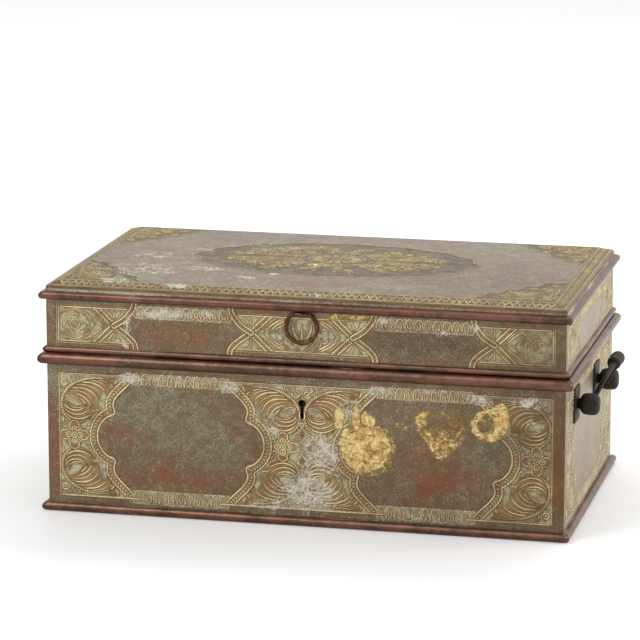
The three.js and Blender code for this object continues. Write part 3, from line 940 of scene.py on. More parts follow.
def spokes(count: int, start: float = 0.0) -> list[tuple[float, Array]]:
    """Gives evenly spaced angles in degrees, each with the direction it points in."""
    angles = [start + 360 / count * k for k in range(count)]
    return [(a, np.array([math.cos(math.radians(a)), math.sin(math.radians(a))])) for a in angles]


@dataclass
class BaseOrnament:
    """Chased work of a base wall: leaf scrolls round one cartouche or two, in a ruled frame."""

    board: Relief
    frame: float
    cartouches: Sequence[Cartouche]
    bottom: float = 14.0
    top: float = 122.0

    def draw(self) -> None:
        """Draws all of it, from the ground up."""
        board = self.board
        inside = (np.abs(board.u) < self.frame) & (board.v > self.bottom) & (board.v < self.top)
        for cartouche in self.cartouches:
            inside &= ~board.inside(cartouche.whole())
        board.sink(inside, 0.3)
        middle = (self.bottom + self.top) / 2
        paired = len(self.cartouches) == 2
        corners = [(-self.frame, 1.0), (self.frame, -1.0)]
        if paired:
            corners += [(0.0, 1.0), (0.0, -1.0)]
        for at, flip in corners:
            for v, flip_v in ((self.bottom, 1.0), (self.top, -1.0)):
                spot = Spot(at, v, flip, flip_v)
                board.leaf_body(spot.path(LEAF_EDGE))
                self.scroll(spot, at == 0.0)
            self.rosette(Spot(at + flip * (13.2 if at else 16.6), middle, flip))
        if paired:
            self.axis(middle)
        for cartouche in self.cartouches:
            for line in cartouche.sides(cartouche.band / 2):
                board.band(line, cartouche.band, between=(self.bottom - 0.6, self.top + 0.6))
            for line in cartouche.sides(0.2):
                board.ridge(line[3:-3], 1.4, 0.5, rim=0.6)
            self.chains(cartouche)
        self.rules()

    def rules(self) -> None:
        """Draws the frame's raised lines, the level ones parted where the chain borders run."""
        a, low, high = self.frame, self.bottom, self.top
        gaps = sorted(
            (c.middle - c.half + 38.5, c.middle + c.half - 38.5) for c in self.cartouches
        )
        starts = [-a] + [gap[1] for gap in gaps]
        ends = [gap[0] for gap in gaps] + [a]
        lines = [((b, v), (c, v)) for v in (low, high) for b, c in zip(starts, ends)]
        for line in lines + [((u, low), (u, high)) for u in (-a, a)]:
            self.board.ridge(np.array(line), 1.2, 0.38, rim=0.5)

    def scroll(self, spot: Spot, inner: bool) -> None:
        """Draws one leaf scroll. Its points count from the frame's corner, along and up."""
        board = self.board
        board.ridge(spot.arc(4.5, 7.5, 2.6, 20, 300), 1.5, rim=0.5)
        board.ridge(spot.arc(4.5, 7.5, 0.7), 1.1, 0.45, rim=0.3)
        board.strokes(spot, CURLS_BELOW, 6)
        board.strokes(spot, [(1.6, 0.34, (16.5, 8), (17.5, 5), (16.6, 1.6))], 4)
        board.strokes(spot, FEATHERS, 6, rim=0.6)
        board.hollow(spot.path([(5.2, 20.4), (11.4, 23.6), (18.6, 27.2)]), 6.4)
        board.ridge(spot.path(EYE, 5), 1.0, rim=0.4)
        board.strokes(spot, LINES_OVER_EYE, 6)
        board.strokes(spot, [SWEEP], 6, beads=2.1)
        board.strokes(spot, BUDS_ABOVE, 4)
        board.hollow(spot.path([(40.6, 14.4), (38.4, 24), (37, 34.6)]), 6.0)
        board.strokes(spot, BUDS_BESIDE, 4)
        if inner:
            board.strokes(spot, [(1.4, 0.36, (1, 31), (2.4, 26), (1, 20))], 4)

    def rosette(self, spot: Spot) -> None:
        """Draws the four-petalled flower between two scrolls, in its ring of small leaves."""
        board, quarters = self.board, spokes(4)
        for _, way in quarters:
            board.leaf_body(spot.arc(*(7.6 * way), 4.9), 0.45)
        board.leaf_body(spot.arc(0, 0, 6.2), 0.45)
        for angle, way in quarters:
            board.ridge(spot.arc(*(1.6 * (5.2 * way)), 4.1, angle - 128, 256), 1.2, rim=0.5)
        board.strokes(spot, [(1.9, 0.36, *([r * u, r * v] for r in (3.2, 6.4, 9.6)))
                             for _, (u, v) in spokes(4, 45)], 4, rim=0.5)
        for _, way in quarters:
            board.ridge(spot.arc(*(5.0 * way), 2.3), 1.2, 0.42, rim=0.45)
            board.ridge(spot.arc(*(5.0 * way), 0.5), 1.0, 0.36, rim=0.3)
        board.ridge(spot.arc(0, 0, 2.3), 1.2, 0.46, rim=0.4)
        board.ridge(spot.arc(0, 0, 0.4), 1.2, 0.46, rim=0.3)

    def axis(self, middle: float) -> None:
        """Draws the plain diamonds, the drop and the small curls on the middle of the wall."""
        board = self.board
        for v, size in ((middle + 11.5, 6.4), (middle - 11.4, 6.0)):
            line = smooth_path([(0.0, v + size), (-size * 0.45, v + size * 0.35), (-size, v),
                                (-size * 0.45, v - size * 0.4), (0.0, v - size)], 4)
            edge = np.vstack([line, line[::-1] * (-1, 1)])
            board.sink(board.inside(edge), 0.1)
            board.ridge(edge, 1.1, 0.42, rim=0.5)
            plain = board.inside((edge - (0, v)) * 0.62 + (0, v))
            board.sunk[plain], board.tone[plain] = 0.0, -0.35
        board.ridge(ring_path(0, middle + 20.2, 1.7), 1.2, 0.42, rim=0.5)
        for flip in (1, -1):
            board.strokes(Spot(0.0, middle, flip), (
                (1.5, 0.4, (1.2, -1), (4.4, 3.4), (8.2, 3.2)),
                (1.5, 0.4, (1.2, 1), (4.4, -3.4), (8.2, -3.2)),
                (1.7, 0.4, (0.8, 44.6), (4.6, 46), (9.6, 50.4), (9, 53)),
                (1.7, 0.4, (0.8, -44.6), (4.6, -46), (9.6, -50.4)),
                (1.2, 0.4, (5.4, 52.6), (7.6, 49), (4.2, 48.4)),
                (1.6, 0.4, (1, -23.4), (3.4, -28), (1.4, -33)),
            ), 4, rim=0.5)

    def chains(self, cartouche: Cartouche) -> None:
        """Draws the two rows of linked arches, above the field and below it."""
        board, level, rise = self.board, cartouche.level, cartouche.rise
        reach = cartouche.half - 31.5
        left, right = cartouche.middle - reach, cartouche.middle + reach
        for low, high in ((level + rise - 0.4, level + rise + 10.6),
                          (level - rise - 11.4, level - rise + 0.4)):
            held = (board.u > left - 1) & (board.u < right + 1) & (board.v > low)
            board.sink(held & (board.v < high), 0.22)
            arches(board, left, right, low + 0.4, high - low - 0.8)


def arches(board: Relief, left: float, right: float, foot: float, rise: float) -> None:
    """Draws a row of linked arches, each with the drop inside it.

    Args:
        board: the sheet that they are chased on.
        left, right: the ends of the row.
        foot: the level of their feet.
        rise: how high they are.
    """
    count = round((right - left) / 7.7)
    pitch = (right - left) / count
    half = pitch / 2
    line = mirrored([(-half, 0.3), (-half * 0.86, rise * 0.2), (-half * 0.8, rise * 0.6),
                     (-half * 0.46, rise * 0.9), (0, rise)])
    cup = mirrored([(-half * 0.4, rise * 0.64), (-half * 0.34, rise * 0.26), (0, rise * 0.1)])
    for k in range(count):
        at = (left + pitch * (k + 0.5), foot)
        board.ridge(smooth_path(line, 3) + at, 1.25, 0.42, rim=0.5)
        board.ridge(smooth_path(cup, 3) + at, 1.1, 0.38, rim=0.4)


@dataclass
class LidOrnament:
    """Chased work of a lid wall: rosettes, crossing bands and plain fields with a chain above."""

    board: Relief
    frame: float
    crossings: Sequence[float]
    fields: Sequence[tuple[float, float]]
    low: float = 151.0
    high: float = 180.6
    middle: float = 165.8
    palmette: bool = True

    def draw(self) -> None:
        """Draws all of it, from the ground up."""
        board = self.board
        ground = (np.abs(board.u) < self.frame) & (board.v > self.low) & (board.v < self.high)
        for left, right in self.fields:
            ground &= ~board.inside(self.edge(left, right))
        board.sink(ground, 0.28)
        for flip in (1, -1):
            self.end(Spot(-flip * self.frame, self.middle, flip))
        if self.palmette:
            self.centre()
        for flip in (1, -1):
            self.rule(flip)
        for left, right in self.fields:
            self.arms(left, -1)
            self.arms(right, 1)
            self.chain(left + 15.4, right - 15.4)

    def edge(self, left: float, right: float) -> Array:
        """Gives the closed edge of a plain field between two crossings."""
        half = [(0, self.middle), (6.4, self.middle + 6.6), (13.8, 186.6)]
        low = [(15.6, 145.0), (12.6, 154.2), (6.0, 160.6)]
        return np.array([(left + u, v) for u, v in half] + [(right - u, v) for u, v in half[::-1]]
                        + [(right - u, v) for u, v in low[::-1]] + [(left + u, v) for u, v in low])

    def arms(self, at: float, flip: float) -> None:
        """Draws the two bands that cross beside the point of a field.

        Args:
            at: the place of the field's point.
            flip: -1 at the field's left end, and 1 at its right one.
        """
        board, cross = self.board, at + flip * 4.4
        for way in (1, -1):
            outward = [(cross, self.middle), (cross + flip * 7.4, self.middle + way * 7.0),
                       (cross + flip * 15.2 + flip * 4.0, self.middle + way * 18.4)]
            board.band(smooth_path(outward, 5), 5.4, 2.6, between=(self.low, self.high))
            board.strokes(Spot(cross, self.middle, flip, way), [
                (1.5, 0.4, (lean, 5.4), (lean * 2.6, 9.4), (lean * 6.4, 13.4))
                for lean in (-1, 0, 1)
            ], 4, rim=0.5)
        for inward in (((4.6, 159.4), (10.4, 154.6), (13.6, 150.4), (14.6, 145.8)),
                       ((4.6, 171.6), (9.6, 177.4), (12.6, 182.0), (13.4, 186.4))):
            line = [(cross, self.middle)] + [(at - flip * u, v) for u, v in inward]
            board.band(smooth_path(line, 5), 5.4, 2.6)

    def rule(self, flip: float) -> None:
        """Draws the frame's raised lines at one end of the sheet and in its middle."""
        inner = [a for a in self.crossings if a > 0]
        outer, near = max(inner) - 15.0, min(inner) + 15.0
        for offset, width in ((0.0, 1.3), (1.7, 0.8)):
            a, low, high = self.frame + offset, self.low - offset, self.high + offset
            lines = [[(outer, low), (a, low)], [(outer, high), (a, high)], [(a, low), (a, high)]]
            if self.palmette:
                lines += [[(0, low), (near, low)], [(0, high), (near, high)]]
            for line in lines:
                self.board.ridge(np.array(line) * (flip, 1), width, 0.36, rim=0.45)

    def end(self, spot: Spot) -> None:
        """Draws the panel between the frame's end and the first crossing."""
        board, half = self.board, (self.high - self.low) / 2
        for flip in (1, -1):
            over = replace(spot, flip_v=flip)
            board.strokes(over, (
                (1.5, 0.4, (22, half), (30, 10), (37, 4.4), (43.5, 0)),
                (1.2, 0.4, (27.5, half), (35, 8.6), (40.5, 3)),
                (2.0, 0.4, (17, half), (27, 11), (34.6, 5.6), (41, 0)),
                (2.0, 0.4, (5, half - 0.8), (14, half - 0.4), (23, 10.4), (29, 4.6), (32.4, 0)),
                (1.3, 0.4, (1.4, 8), (4, 11.4), (9, 13.4)),
                (1.1, 0.4, (1.2, 4.2), (3.4, 9), (8.4, 12), (15.4, 12.8), (22, 9), (28.6, 0.4)),
                (1.5, 0.4, (34.5, half - 1), (37, half - 4.6), (41, half - 6)),
            ), rim=0.55)
            board.hollow(over.path([(33.5, 2.6), (36, 1.6), (38.4, 0.4)], 3), 2.6)
        for angle, (u, v) in spokes(4):
            petal = spot.arc(14.6 + 5.2 * u, 5.2 * v, 3.9, angle - 118, 236)
            board.ridge(petal, 1.2, 0.42, rim=0.45)
        for radius, width, rise, rim in ((4.2, 1.2, 0.4, 0.45), (2.1, 1.0, 0.42, 0.4),
                                         (0.4, 1.2, 0.46, 0.3)):
            board.ridge(spot.arc(14.6, 0, radius), width, rise, rim=rim)

    def centre(self) -> None:
        """Draws the lens behind the ring pull, its palmette and the feathers beside it."""
        board, half = self.board, (self.high - self.low) / 2
        for side in (1, -1):
            for flip in (1, -1):
                spot = Spot(0, self.middle, side, flip)
                board.strokes(spot, (
                    (1.8, 0.42, (27, half), (35, 8), (40, 3.4), (43.4, 0)),
                    (2.1, 0.42, (19, half), (28, 9.6), (34, 4.6), (38.4, 0)),
                    (1.7, 0.42, (12, half), (22, 10.4), (28.6, 5.4), (33.4, 0)),
                    (1.6, 0.42, (5, half), (15, 11.6), (23.4, 6.4), (29.4, 0)),
                    (1.3, 0.42, (16, 2.6), (18.4, 6.2), (22, 4.6), (22.6, 1)),
                ), rim=0.55)
                board.hollow(spot.path([(33, 3.4), (35.4, 2), (37.6, 0.4)], 3), 2.4)
            board.strokes(Spot(0, self.middle, side), (
                (2.2, 0.42, (1, -13), (7, -10), (11.6, -3.6), (12.6, 4), (10.6, 10.6)),
                (3.0, 0.42, (0.8, -8), (4.6, -3), (7.6, 4), (8.2, 11.4)),
                (1.6, 0.42, (2.2, -1), (5, 5), (5.4, 12.2)),
                (1.6, 0.42, (13, -12), (16.4, -7.4), (16.4, -1.6)),
                (1.5, 0.42, (13.4, 12.6), (15.6, 8.4), (15.4, 3.4)),
                (1.5, 0.42, (3.6, -13.6), (9.4, -13), (13.4, -9.4)),
            ), beads=1.9, rim=0.6)
        board.ridge(np.array([(0, 157), (0, 176)]), 1.5, 0.4, Swell.LEAF)

    def chain(self, start: float, stop: float) -> None:
        """Draws the row of linked arches above a plain field, with a cup under each foot."""
        board, low, high = self.board, 172.6, 184.6
        where = (board.u > start - 1) & (board.u < stop + 1) & (board.v > low) & (board.v < high)
        board.sink(where, 0.22)
        count = round((stop - start) / 7.7)
        pitch = (stop - start) / count
        cup = mirrored([(-pitch * 0.34, 6.4), (-pitch * 0.26, 2.4), (0.0, 0.9)])
        for k in range(count + 1):
            board.ridge(smooth_path(cup, 3) + (start + pitch * k, low), 1.15, 0.36, rim=0.45)
        arches(board, start, stop, low + 2.6, high - low - 3.0)


@dataclass
class TopOrnament:
    """Chased work of the lid panel: a zigzag border, four corner pieces and a medallion."""

    board: Relief
    stretch: float = 1.4
    medallion: Point = (114.0, 62.0)

    def draw(self) -> None:
        """Draws all of it, from the ground up."""
        self.border()
        for u in (-1, 1):
            for v in (-1, 1):
                self.corner(Spot(u * (BOX.length / 2 - 13.0), v * (BOX.depth / 2 - 13.0), -u, -v))
        self.middle()

    def border(self) -> None:
        """Draws the zigzag along the sloping edge, between two ruled lines."""
        board = self.board
        half_u, half_v = BOX.length / 2, BOX.depth / 2
        inset = BOX.inset(board.u, board.v)
        board.sink((inset > 2.4) & (inset < 10.6), 0.2)
        for flip in (1, -1):
            for along, away in ((half_u, half_v), (half_v, half_u)):
                count = int((2 * along - 22) / 3.15 / 2) * 2
                places = np.linspace(-along + 11, along - 11, count + 1)
                teeth = away - np.where(np.arange(count + 1) % 2 == 0, 9.4, 3.6)
                line = np.stack([places, teeth], axis=1)
                line = line if along == half_u else line[:, ::-1]
                for k in range(count):
                    board.ridge(line[k:k + 2] * (flip, flip), 1.5, rim=0.6)
                for k in range(1, count, 2):
                    dot = line[k] + (line[k - 1] + line[k + 1] - 2 * line[k]) * 0.36
                    bead = np.array([dot, dot + (0.1, 0.1)]) * (flip, flip)
                    board.ridge(bead, 1.7, 0.34, rim=0.4)
        for inset_at in (2.2, 10.8):
            a, b = half_u - inset_at, half_v - inset_at
            corners = ((-a, -b), (a, -b), (a, b), (-a, b), (-a, -b))
            for line in zip(corners[:-1], corners[1:]):
                board.ridge(np.array(line), 1.2, 0.34, rim=0.5)

    def corner(self, spot: Spot) -> None:
        """Draws a corner piece. Its points count from the corner of the border inwards."""
        board = self.board
        edge = [(70, 0.5), (62, 6), (60, 14), (50, 17), (46, 26), (37, 29), (33, 38), (23, 41),
                (18, 50), (8, 52), (0.5, 58)]
        outline = spot.path([(u, v * self.stretch) for u, v in edge])
        board.sink(board.inside(np.vstack([outline, [[spot.u, spot.v]]])), 0.26)
        for base, tip, bend, width in (
            ((4, 4), (58, 4), 3, 8), ((4, 5), (4, 48), -3, 8), ((5, 5), (46, 14), 4, 8),
            ((5, 5), (15, 40), -4, 8), ((5, 5), (34, 24), 5, 9), ((26, 4), (54, 11), -4, 6),
            ((4, 24), (11, 46), 4, 6),
        ):
            self.leaf(spot, base, tip, bend, width * 1.2, self.stretch)
        for u, v, radius in ((44, 9, 4.6), (30, 13, 5), (13, 33, 5), (24, 32, 4.6), (40, 22, 4.2),
                             (22, 20, 4.6), (8, 44, 4.2)):
            self.curl(spot, u, v * self.stretch, radius)
        board.ridge(outline, 1.9, 0.42, beads=2.2)

    def middle(self) -> None:
        """Draws the medallion: leaf scrolls in rings inside a lobed outline."""
        board = self.board
        a, b = self.medallion
        angle = np.radians(np.arange(0, 360, 3.0))
        lobes = 1 + 0.055 * np.abs(np.cos(8 * angle)) + 0.13 * np.clip(np.cos(angle) ** 2, 0.86, 1)
        outline = np.stack([a * lobes * np.cos(angle) * 0.94, b * lobes * np.sin(angle)], axis=1)
        board.sink(board.inside(outline), 0.26)
        for u in (1, -1):
            for v in (1, -1):
                spot = Spot(0, 0, u, v)
                for base, tip, bend, width in (
                    ((36, 4), (104, 5), 4, 9), ((30, 8), (92, 20), -5, 10),
                    ((26, 14), (76, 36), 5, 10), ((18, 18), (54, 48), -5, 10),
                    ((8, 20), (28, 56), 4, 9), ((50, 12), (98, 16), 5, 7),
                    ((46, 24), (84, 34), -4, 7), ((34, 34), (64, 45), 4, 7),
                    ((2, 26), (10, 56), -3, 8),
                ):
                    self.leaf(spot, base, tip, bend, width)
                for curl in (
                    (60, 7, 4.6), (80, 9, 4.2), (70, 26, 4.4), (46, 38, 4.6), (20, 44, 4.6),
                    (40, 16, 4.8), (58, 32, 3.8), (92, 13, 3.4), (30, 26, 4.4), (10, 38, 4),
                ):
                    self.curl(spot, *curl)
        for radius, count in ((24.0, 16), (13.0, 8)):
            for k in range(count):
                turn = 2 * np.pi * (k + 0.5) / count
                ray = np.array([math.cos(turn), math.sin(turn) * 0.72])
                line = np.array([ray * radius * 0.5, ray * radius * 0.78, ray * radius])
                board.ridge(smooth_path(line, 4), radius * 0.2, 0.42, Swell.LEAF)
        for radius in (25.5, 11.0, 4.5):
            board.ridge(ring_path(0, 0, radius) * (1, 0.72), 1.7, 0.42, beads=2.2)
        board.ridge(outline, 2.1, 0.44, beads=2.3)

    def leaf(
        self, spot: Spot, base: Point, tip: Point, bend: float, width: float, stretch: float = 1.0
    ) -> None:
        """Draws a split leaf as a rib with feathers on both sides.

        Args:
            spot: where the motif is laid.
            base, tip: the ends of the rib.
            bend: how far the rib bows to one side.
            width: the leaf's full width.
            stretch: how much further up its ends are than given.
        """
        start, end = np.array(base) * (1, stretch), np.array(tip) * (1, stretch)
        run = end - start
        length = float(np.hypot(*run))
        side = np.array([-run[1], run[0]]) / length
        line = smooth_path([start, start + run * 0.3 + side * bend * 0.8,
                            start + run * 0.65 + side * bend, end], 5)
        count = max(3, int(length / 6.0))
        for k in range(count):
            share = (k + 0.6) / (count + 0.4)
            at = line[min(len(line) - 1, int(share * (len(line) - 1)))]
            reach = width * 0.62 * math.sin(math.pi * min(0.97, share * 0.85 + 0.15)) ** 0.6
            ahead = at + run / length * reach * 0.9
            self.board.strokes(spot, [
                (2.1, 0.4, at, at * 0.5 + ahead * 0.5 + side * turn * reach * 0.7,
                 ahead + side * turn * reach * 0.55) for turn in (1, -1)
            ], 3, rim=0.6)
        self.board.ridge(spot.lay(line), 1.5, 0.46, Swell.TAIL, rim=0.6)

    def curl(self, spot: Spot, u: float, v: float, radius: float) -> None:
        """Draws a small tendril that curls up round a bud."""
        angle = np.radians(np.arange(0, 500, 25.0))
        size = radius * (1 - 0.62 * angle / angle[-1])
        line = np.stack([u + size * np.cos(angle), v + size * np.sin(angle)], axis=1)
        self.board.ridge(spot.lay(line), 1.3, rim=0.55)

Color = tuple[float, float, float, float]
Paint = tuple[int, int, int]


def linear(paint: Paint) -> Color:
    """Turns a colour as a screen shows it, 0 to 255, into the renderer's linear values."""
    red, green, blue = (
        c / 255 / 12.92 if c <= 10 else ((c / 255 + 0.055) / 1.055) ** 2.4 for c in paint
    )
    return red, green, blue, 1.0


class Nodes:
    """Builds the nodes of a material or a world with few words."""

    def __init__(self, tree: bpy.types.NodeTree) -> None:
        """Starts on a tree of nodes."""
        self.tree = tree

    def node(
        self, kind: str, inputs: dict[str | int, object], **settings: object
    ) -> bpy.types.Node:
        """Adds a node.

        Args:
            kind: the last part of the node type's name.
            inputs: what each of its sockets is fed: another socket, a number or a colour.
            settings: its own settings.

        Returns:
            The new node.
        """
        node = self.tree.nodes.new(f"ShaderNode{kind}")
        for name, value in settings.items():
            setattr(node, name, value)
        for name, value in inputs.items():
            self.join(value, node.inputs[name])
        return node

    def join(self, source: object, target: Socket) -> None:
        """Feeds a socket from another one, or sets it to a number or colour."""
        if isinstance(source, Socket):
            self.tree.links.new(source, target)
        else:
            target.default_value = source

    def place(self) -> Socket:
        """Gives the place on the piece."""
        return self.node("TexCoord", {}).outputs["Object"]

    def noise(
        self, size: float, detail: float = 4, rough: float = 0.7, bend: float = 0, seed: float = 0
    ) -> Socket:
        """Gives cloudy noise, from 0 to 1.

        Args:
            size: about how large its clouds are, in millimetres.
            detail: how many finer layers it has.
            rough: how strong the finer layers are.
            bend: how much it is twisted.
            seed: moves it, so that two of the same size differ.

        Returns:
            Its value.
        """
        return self.node("TexNoise", {
            "Vector": self.place(), "W": seed, "Scale": 1.0 / (size * MM), "Detail": detail,
            "Roughness": rough, "Distortion": bend,
        }, noise_dimensions="4D").outputs["Fac"]

    def step(self, value: object, low: float, high: float, least: float = 0.0) -> Socket:
        """Turns values from low to high into values from the least to 1, smoothly."""
        return self.node("MapRange", {
            "Value": value, "From Min": low, "From Max": high, "To Min": least,
        }, interpolation_type="SMOOTHSTEP").outputs["Result"]

    def math(self, kind: str, a: object, b: object) -> Socket:
        """Gives the result of a sum on two values, kept from 0 to 1."""
        return self.node("Math", {0: a, 1: b}, operation=kind, use_clamp=True).outputs[0]

    def times(self, a: object, b: object) -> Socket:
        """Gives the product of two values, kept from 0 to 1."""
        return self.math("MULTIPLY", a, b)

    def mix(self, share: object, a: object, b: object) -> Socket:
        """Gives a colour between two, by a share from 0 to 1. A colour may be a paint."""
        a, b = (linear(c) if isinstance(c, tuple) else c for c in (a, b))
        return self.node("Mix", {"Factor": share, 6: a, 7: b}, data_type="RGBA").outputs[2]

    def total(self, start: float, *terms: tuple[object, float]) -> Socket:
        """Adds up values, each times its own weight.

        Args:
            start: the number that the sum starts from.
            terms: each value and its weight.

        Returns:
            The sum, which may lie outside 0 to 1.
        """
        result: object = start
        for value, weight in terms:
            result = self.node(
                "Math", {0: value, 1: weight, 2: result}, operation="MULTIPLY_ADD"
            ).outputs[0]
        return result

    def marks(self, name: str) -> list[Socket]:
        """Gives the four masks that a mesh carries under a name."""
        mark = self.node("Attribute", {}, attribute_name=name)
        parts = self.node("SeparateColor", {"Color": mark.outputs["Color"]})
        return [*list(parts.outputs)[:3], mark.outputs["Alpha"]]


class Finish(Nodes):
    """The nodes of one material."""

    def __init__(self, name: str, slot: str = "") -> None:
        """Starts a material.

        Args:
            name: the material's name.
            slot: the record's material slot that its pieces take their finish from, if any.
        """
        self.material = bpy.data.materials.new(name)
        self.material.use_nodes = True
        self.material["slot"] = slot
        super().__init__(self.material.node_tree)
        self.shader = self.tree.nodes["Principled BSDF"].inputs

    def bump(self, height: Socket, depth: float, strength: float) -> None:
        """Roughens the surface by a height from 0 to 1, so many millimetres deep."""
        rough = self.node("Bump", {"Strength": strength, "Distance": depth * MM, "Height": height})
        self.join(rough.outputs["Normal"], self.shader["Normal"])

    def done(self, color: object, metal: object, rough: object, gloss: float = 0.5) -> Material:
        """Feeds the shader and gives the finished material."""
        feeds = {
            "Base Color": color, "Metallic": metal, "Roughness": rough,
            "Specular IOR Level": gloss,
        }
        for name, value in feeds.items():
            self.join(value, self.shader[name])
        return self.material


@dataclass(frozen=True)
class ChasedBrass:
    """Old sheet brass: mottled brown fields, and chased work worn back to tan and ochre."""

    name: str = "Chased wall brass"
    slot: str = "wall_brass"
    red: Paint = (130, 82, 58)
    brown: Paint = (116, 90, 68)
    green: Paint = (108, 98, 76)
    speck: Paint = (158, 152, 126)
    pit: Paint = (72, 54, 42)
    body_red: Paint = (128, 94, 70)
    body_gold: Paint = (158, 130, 88)
    line_red: Paint = (198, 164, 118)
    line_pale: Paint = (230, 216, 168)
    ground: Paint = (186, 182, 150)
    ground_dark: Paint = (134, 120, 90)
    cut: Paint = (58, 42, 30)
    shadow: Paint = (74, 52, 34)
    crust: Paint = (216, 212, 196)
    lilac: Paint = (178, 170, 158)
    verdigris: Paint = (176, 188, 162)
    olive: Paint = (124, 104, 60)
    bare: Paint = (192, 150, 90)
    bare_pale: Paint = (222, 208, 150)

    def field(self, n: Nodes, tone: Socket) -> Socket:
        """Mixes the patina of the plain fields.

        Args:
            n: the material's nodes.
            tone: the patina mask, from red at 0 to grey-green at 1.

        Returns:
            The patina's colour.
        """
        drift = n.total(
            -0.79, (n.noise(38, 5, 0.6, 0.6), 0.9), (tone, 1.0), (n.noise(6, 5, 0.75, 0.3), 0.7)
        )
        warm = n.mix(n.step(drift, 0.16, 0.42), self.red, self.brown)
        base = n.mix(n.step(drift, 0.42, 0.72), warm, self.green)
        specks = n.total(-0.16, (n.noise(1.5, 4, 0.8, 0, 3), 1.0), (drift, 0.14),
                         (n.noise(8, 3, 0.6, 0.6, 4), 0.36))
        base = n.mix(n.times(n.step(specks, 0.58, 0.72), 0.65), base, self.speck)
        pits = n.step(n.noise(1.9, 4, 0.8, 0.3, 9), 0.46, 0.34)
        return n.mix(n.times(pits, 0.6), base, self.pit)

    def ornament(self, n: Nodes, base: Socket, chased: Sequence[Socket]) -> Socket:
        """Mixes the chased work over the field.

        Args:
            n: the material's nodes.
            base: the field's colour.
            chased: how worn, how deeply cut and how low each place is, and how much painted shade
                darkens it.

        Returns:
            The colour of both.
        """
        bright, dark, sunk, shade = chased
        fine = n.noise(1.4, 4, 0.75, 0, 6)
        worn = n.step(n.total(0.0, (n.noise(13, 5, 0.7, 0.4, 5), 0.8), (fine, 0.4)), 0.44, 0.7)
        deep = n.step(n.total(0.0, (n.noise(9, 5, 0.7, 0.5, 7), 0.8), (fine, 0.4)), 0.5, 0.72)
        base = n.mix(sunk, base, n.mix(deep, self.ground_dark, self.ground))
        base = n.mix(n.step(bright, 0.05, 0.32), base, n.mix(worn, self.body_red, self.body_gold))
        line = n.total(-0.24, (bright, 1.0), (n.noise(3.4, 4, 0.8, 0.4, 8), 0.48))
        base = n.mix(n.step(line, 0.5, 0.9), base, n.mix(worn, self.line_red, self.line_pale))
        flecks = n.times(n.step(fine, 0.46, 0.32), n.math("MAXIMUM", bright, sunk))
        base = n.mix(n.times(flecks, 0.5), base, self.shadow)
        base = n.mix(n.times(dark, 0.85), base, self.cut)
        # Painted shade: darkens the colour toward brown where the shade mask lies, broken up by
        # noise.
        painted_dimming = n.times(shade, n.step(n.noise(24, 4, 0.7, 0.3, 11), 0.25, 0.6))
        return n.mix(n.times(painted_dimming, 0.55), base, self.shadow)

    def make(self) -> Material:
        """Builds the material from the masks that the sheets carry.

        Returns:
            The material.
        """
        n = Finish(self.name, self.slot)
        chased = n.marks("chased")
        bright, dark, sunk, _ = chased
        crust, bare, tone, _ = n.marks("worn")
        base = self.ornament(n, self.field(n, tone), chased)
        rub = n.total(-1.4, (bare, 0.8), (n.noise(9, 6, 0.75, 1.2, 12), 1.5),
                      (n.noise(1.9, 4, 0.85), 1.3))
        held = n.step(bare, 0.02, 0.12)
        stained, rubbed = (n.times(n.step(rub, low, low + reach), held)
                           for low, reach in ((0.18, 0.12), (0.36, 0.14)))
        scaly = n.total(0.0, (n.noise(7, 5, 0.7, 1.0, 14), 0.7),
                        (n.noise(1.6, 4, 0.85, 0, 15), 0.45))
        yellow = n.mix(n.step(scaly, 0.54, 0.66), self.bare, self.bare_pale)
        yellow = n.mix(n.step(scaly, 0.54, 0.46), yellow, self.olive)
        base = n.mix(n.times(stained, 0.8), base, self.olive)
        base = n.mix(n.times(rubbed, 0.95), base, yellow)
        chalk = n.total(-1.5, (crust, 0.52), (n.noise(2, 6, 0.85, 0.5, 20), 1.7),
                        (n.noise(9, 4, 0.6, 1.4, 21), 1.2), (dark, 0.2), (bright, 0.14))
        chalky = n.times(n.step(chalk, 0.34, 0.56), n.step(crust, 0.02, 0.2))
        pale = n.mix(n.step(n.noise(3, 4, 0.7, 0.3, 22), 0.36, 0.5), self.lilac, self.crust)
        pale = n.mix(n.step(n.noise(12, 4, 0.6, 0.3, 23), 0.5, 0.62), pale, self.verdigris)
        base = n.mix(n.times(chalky, 0.85), base, pale)
        dull = n.math("MAXIMUM", n.times(dark, 0.8), chalky)
        rough = n.total(0.34, (n.noise(2.5, 4, 0.7, 0, 30), 0.28), (dull, 0.3), (rubbed, -0.14))
        shine = n.total(0.74, (dull, -0.62), (sunk, -0.2), (rubbed, 0.15))
        scale = n.total(0.0, (n.noise(1.3, 4, 0.75, 0, 40), 1.0), (chalky, 0.6), (rubbed, -0.5))
        n.bump(scale, 0.2, 0.75)
        return n.done(base, shine, rough)


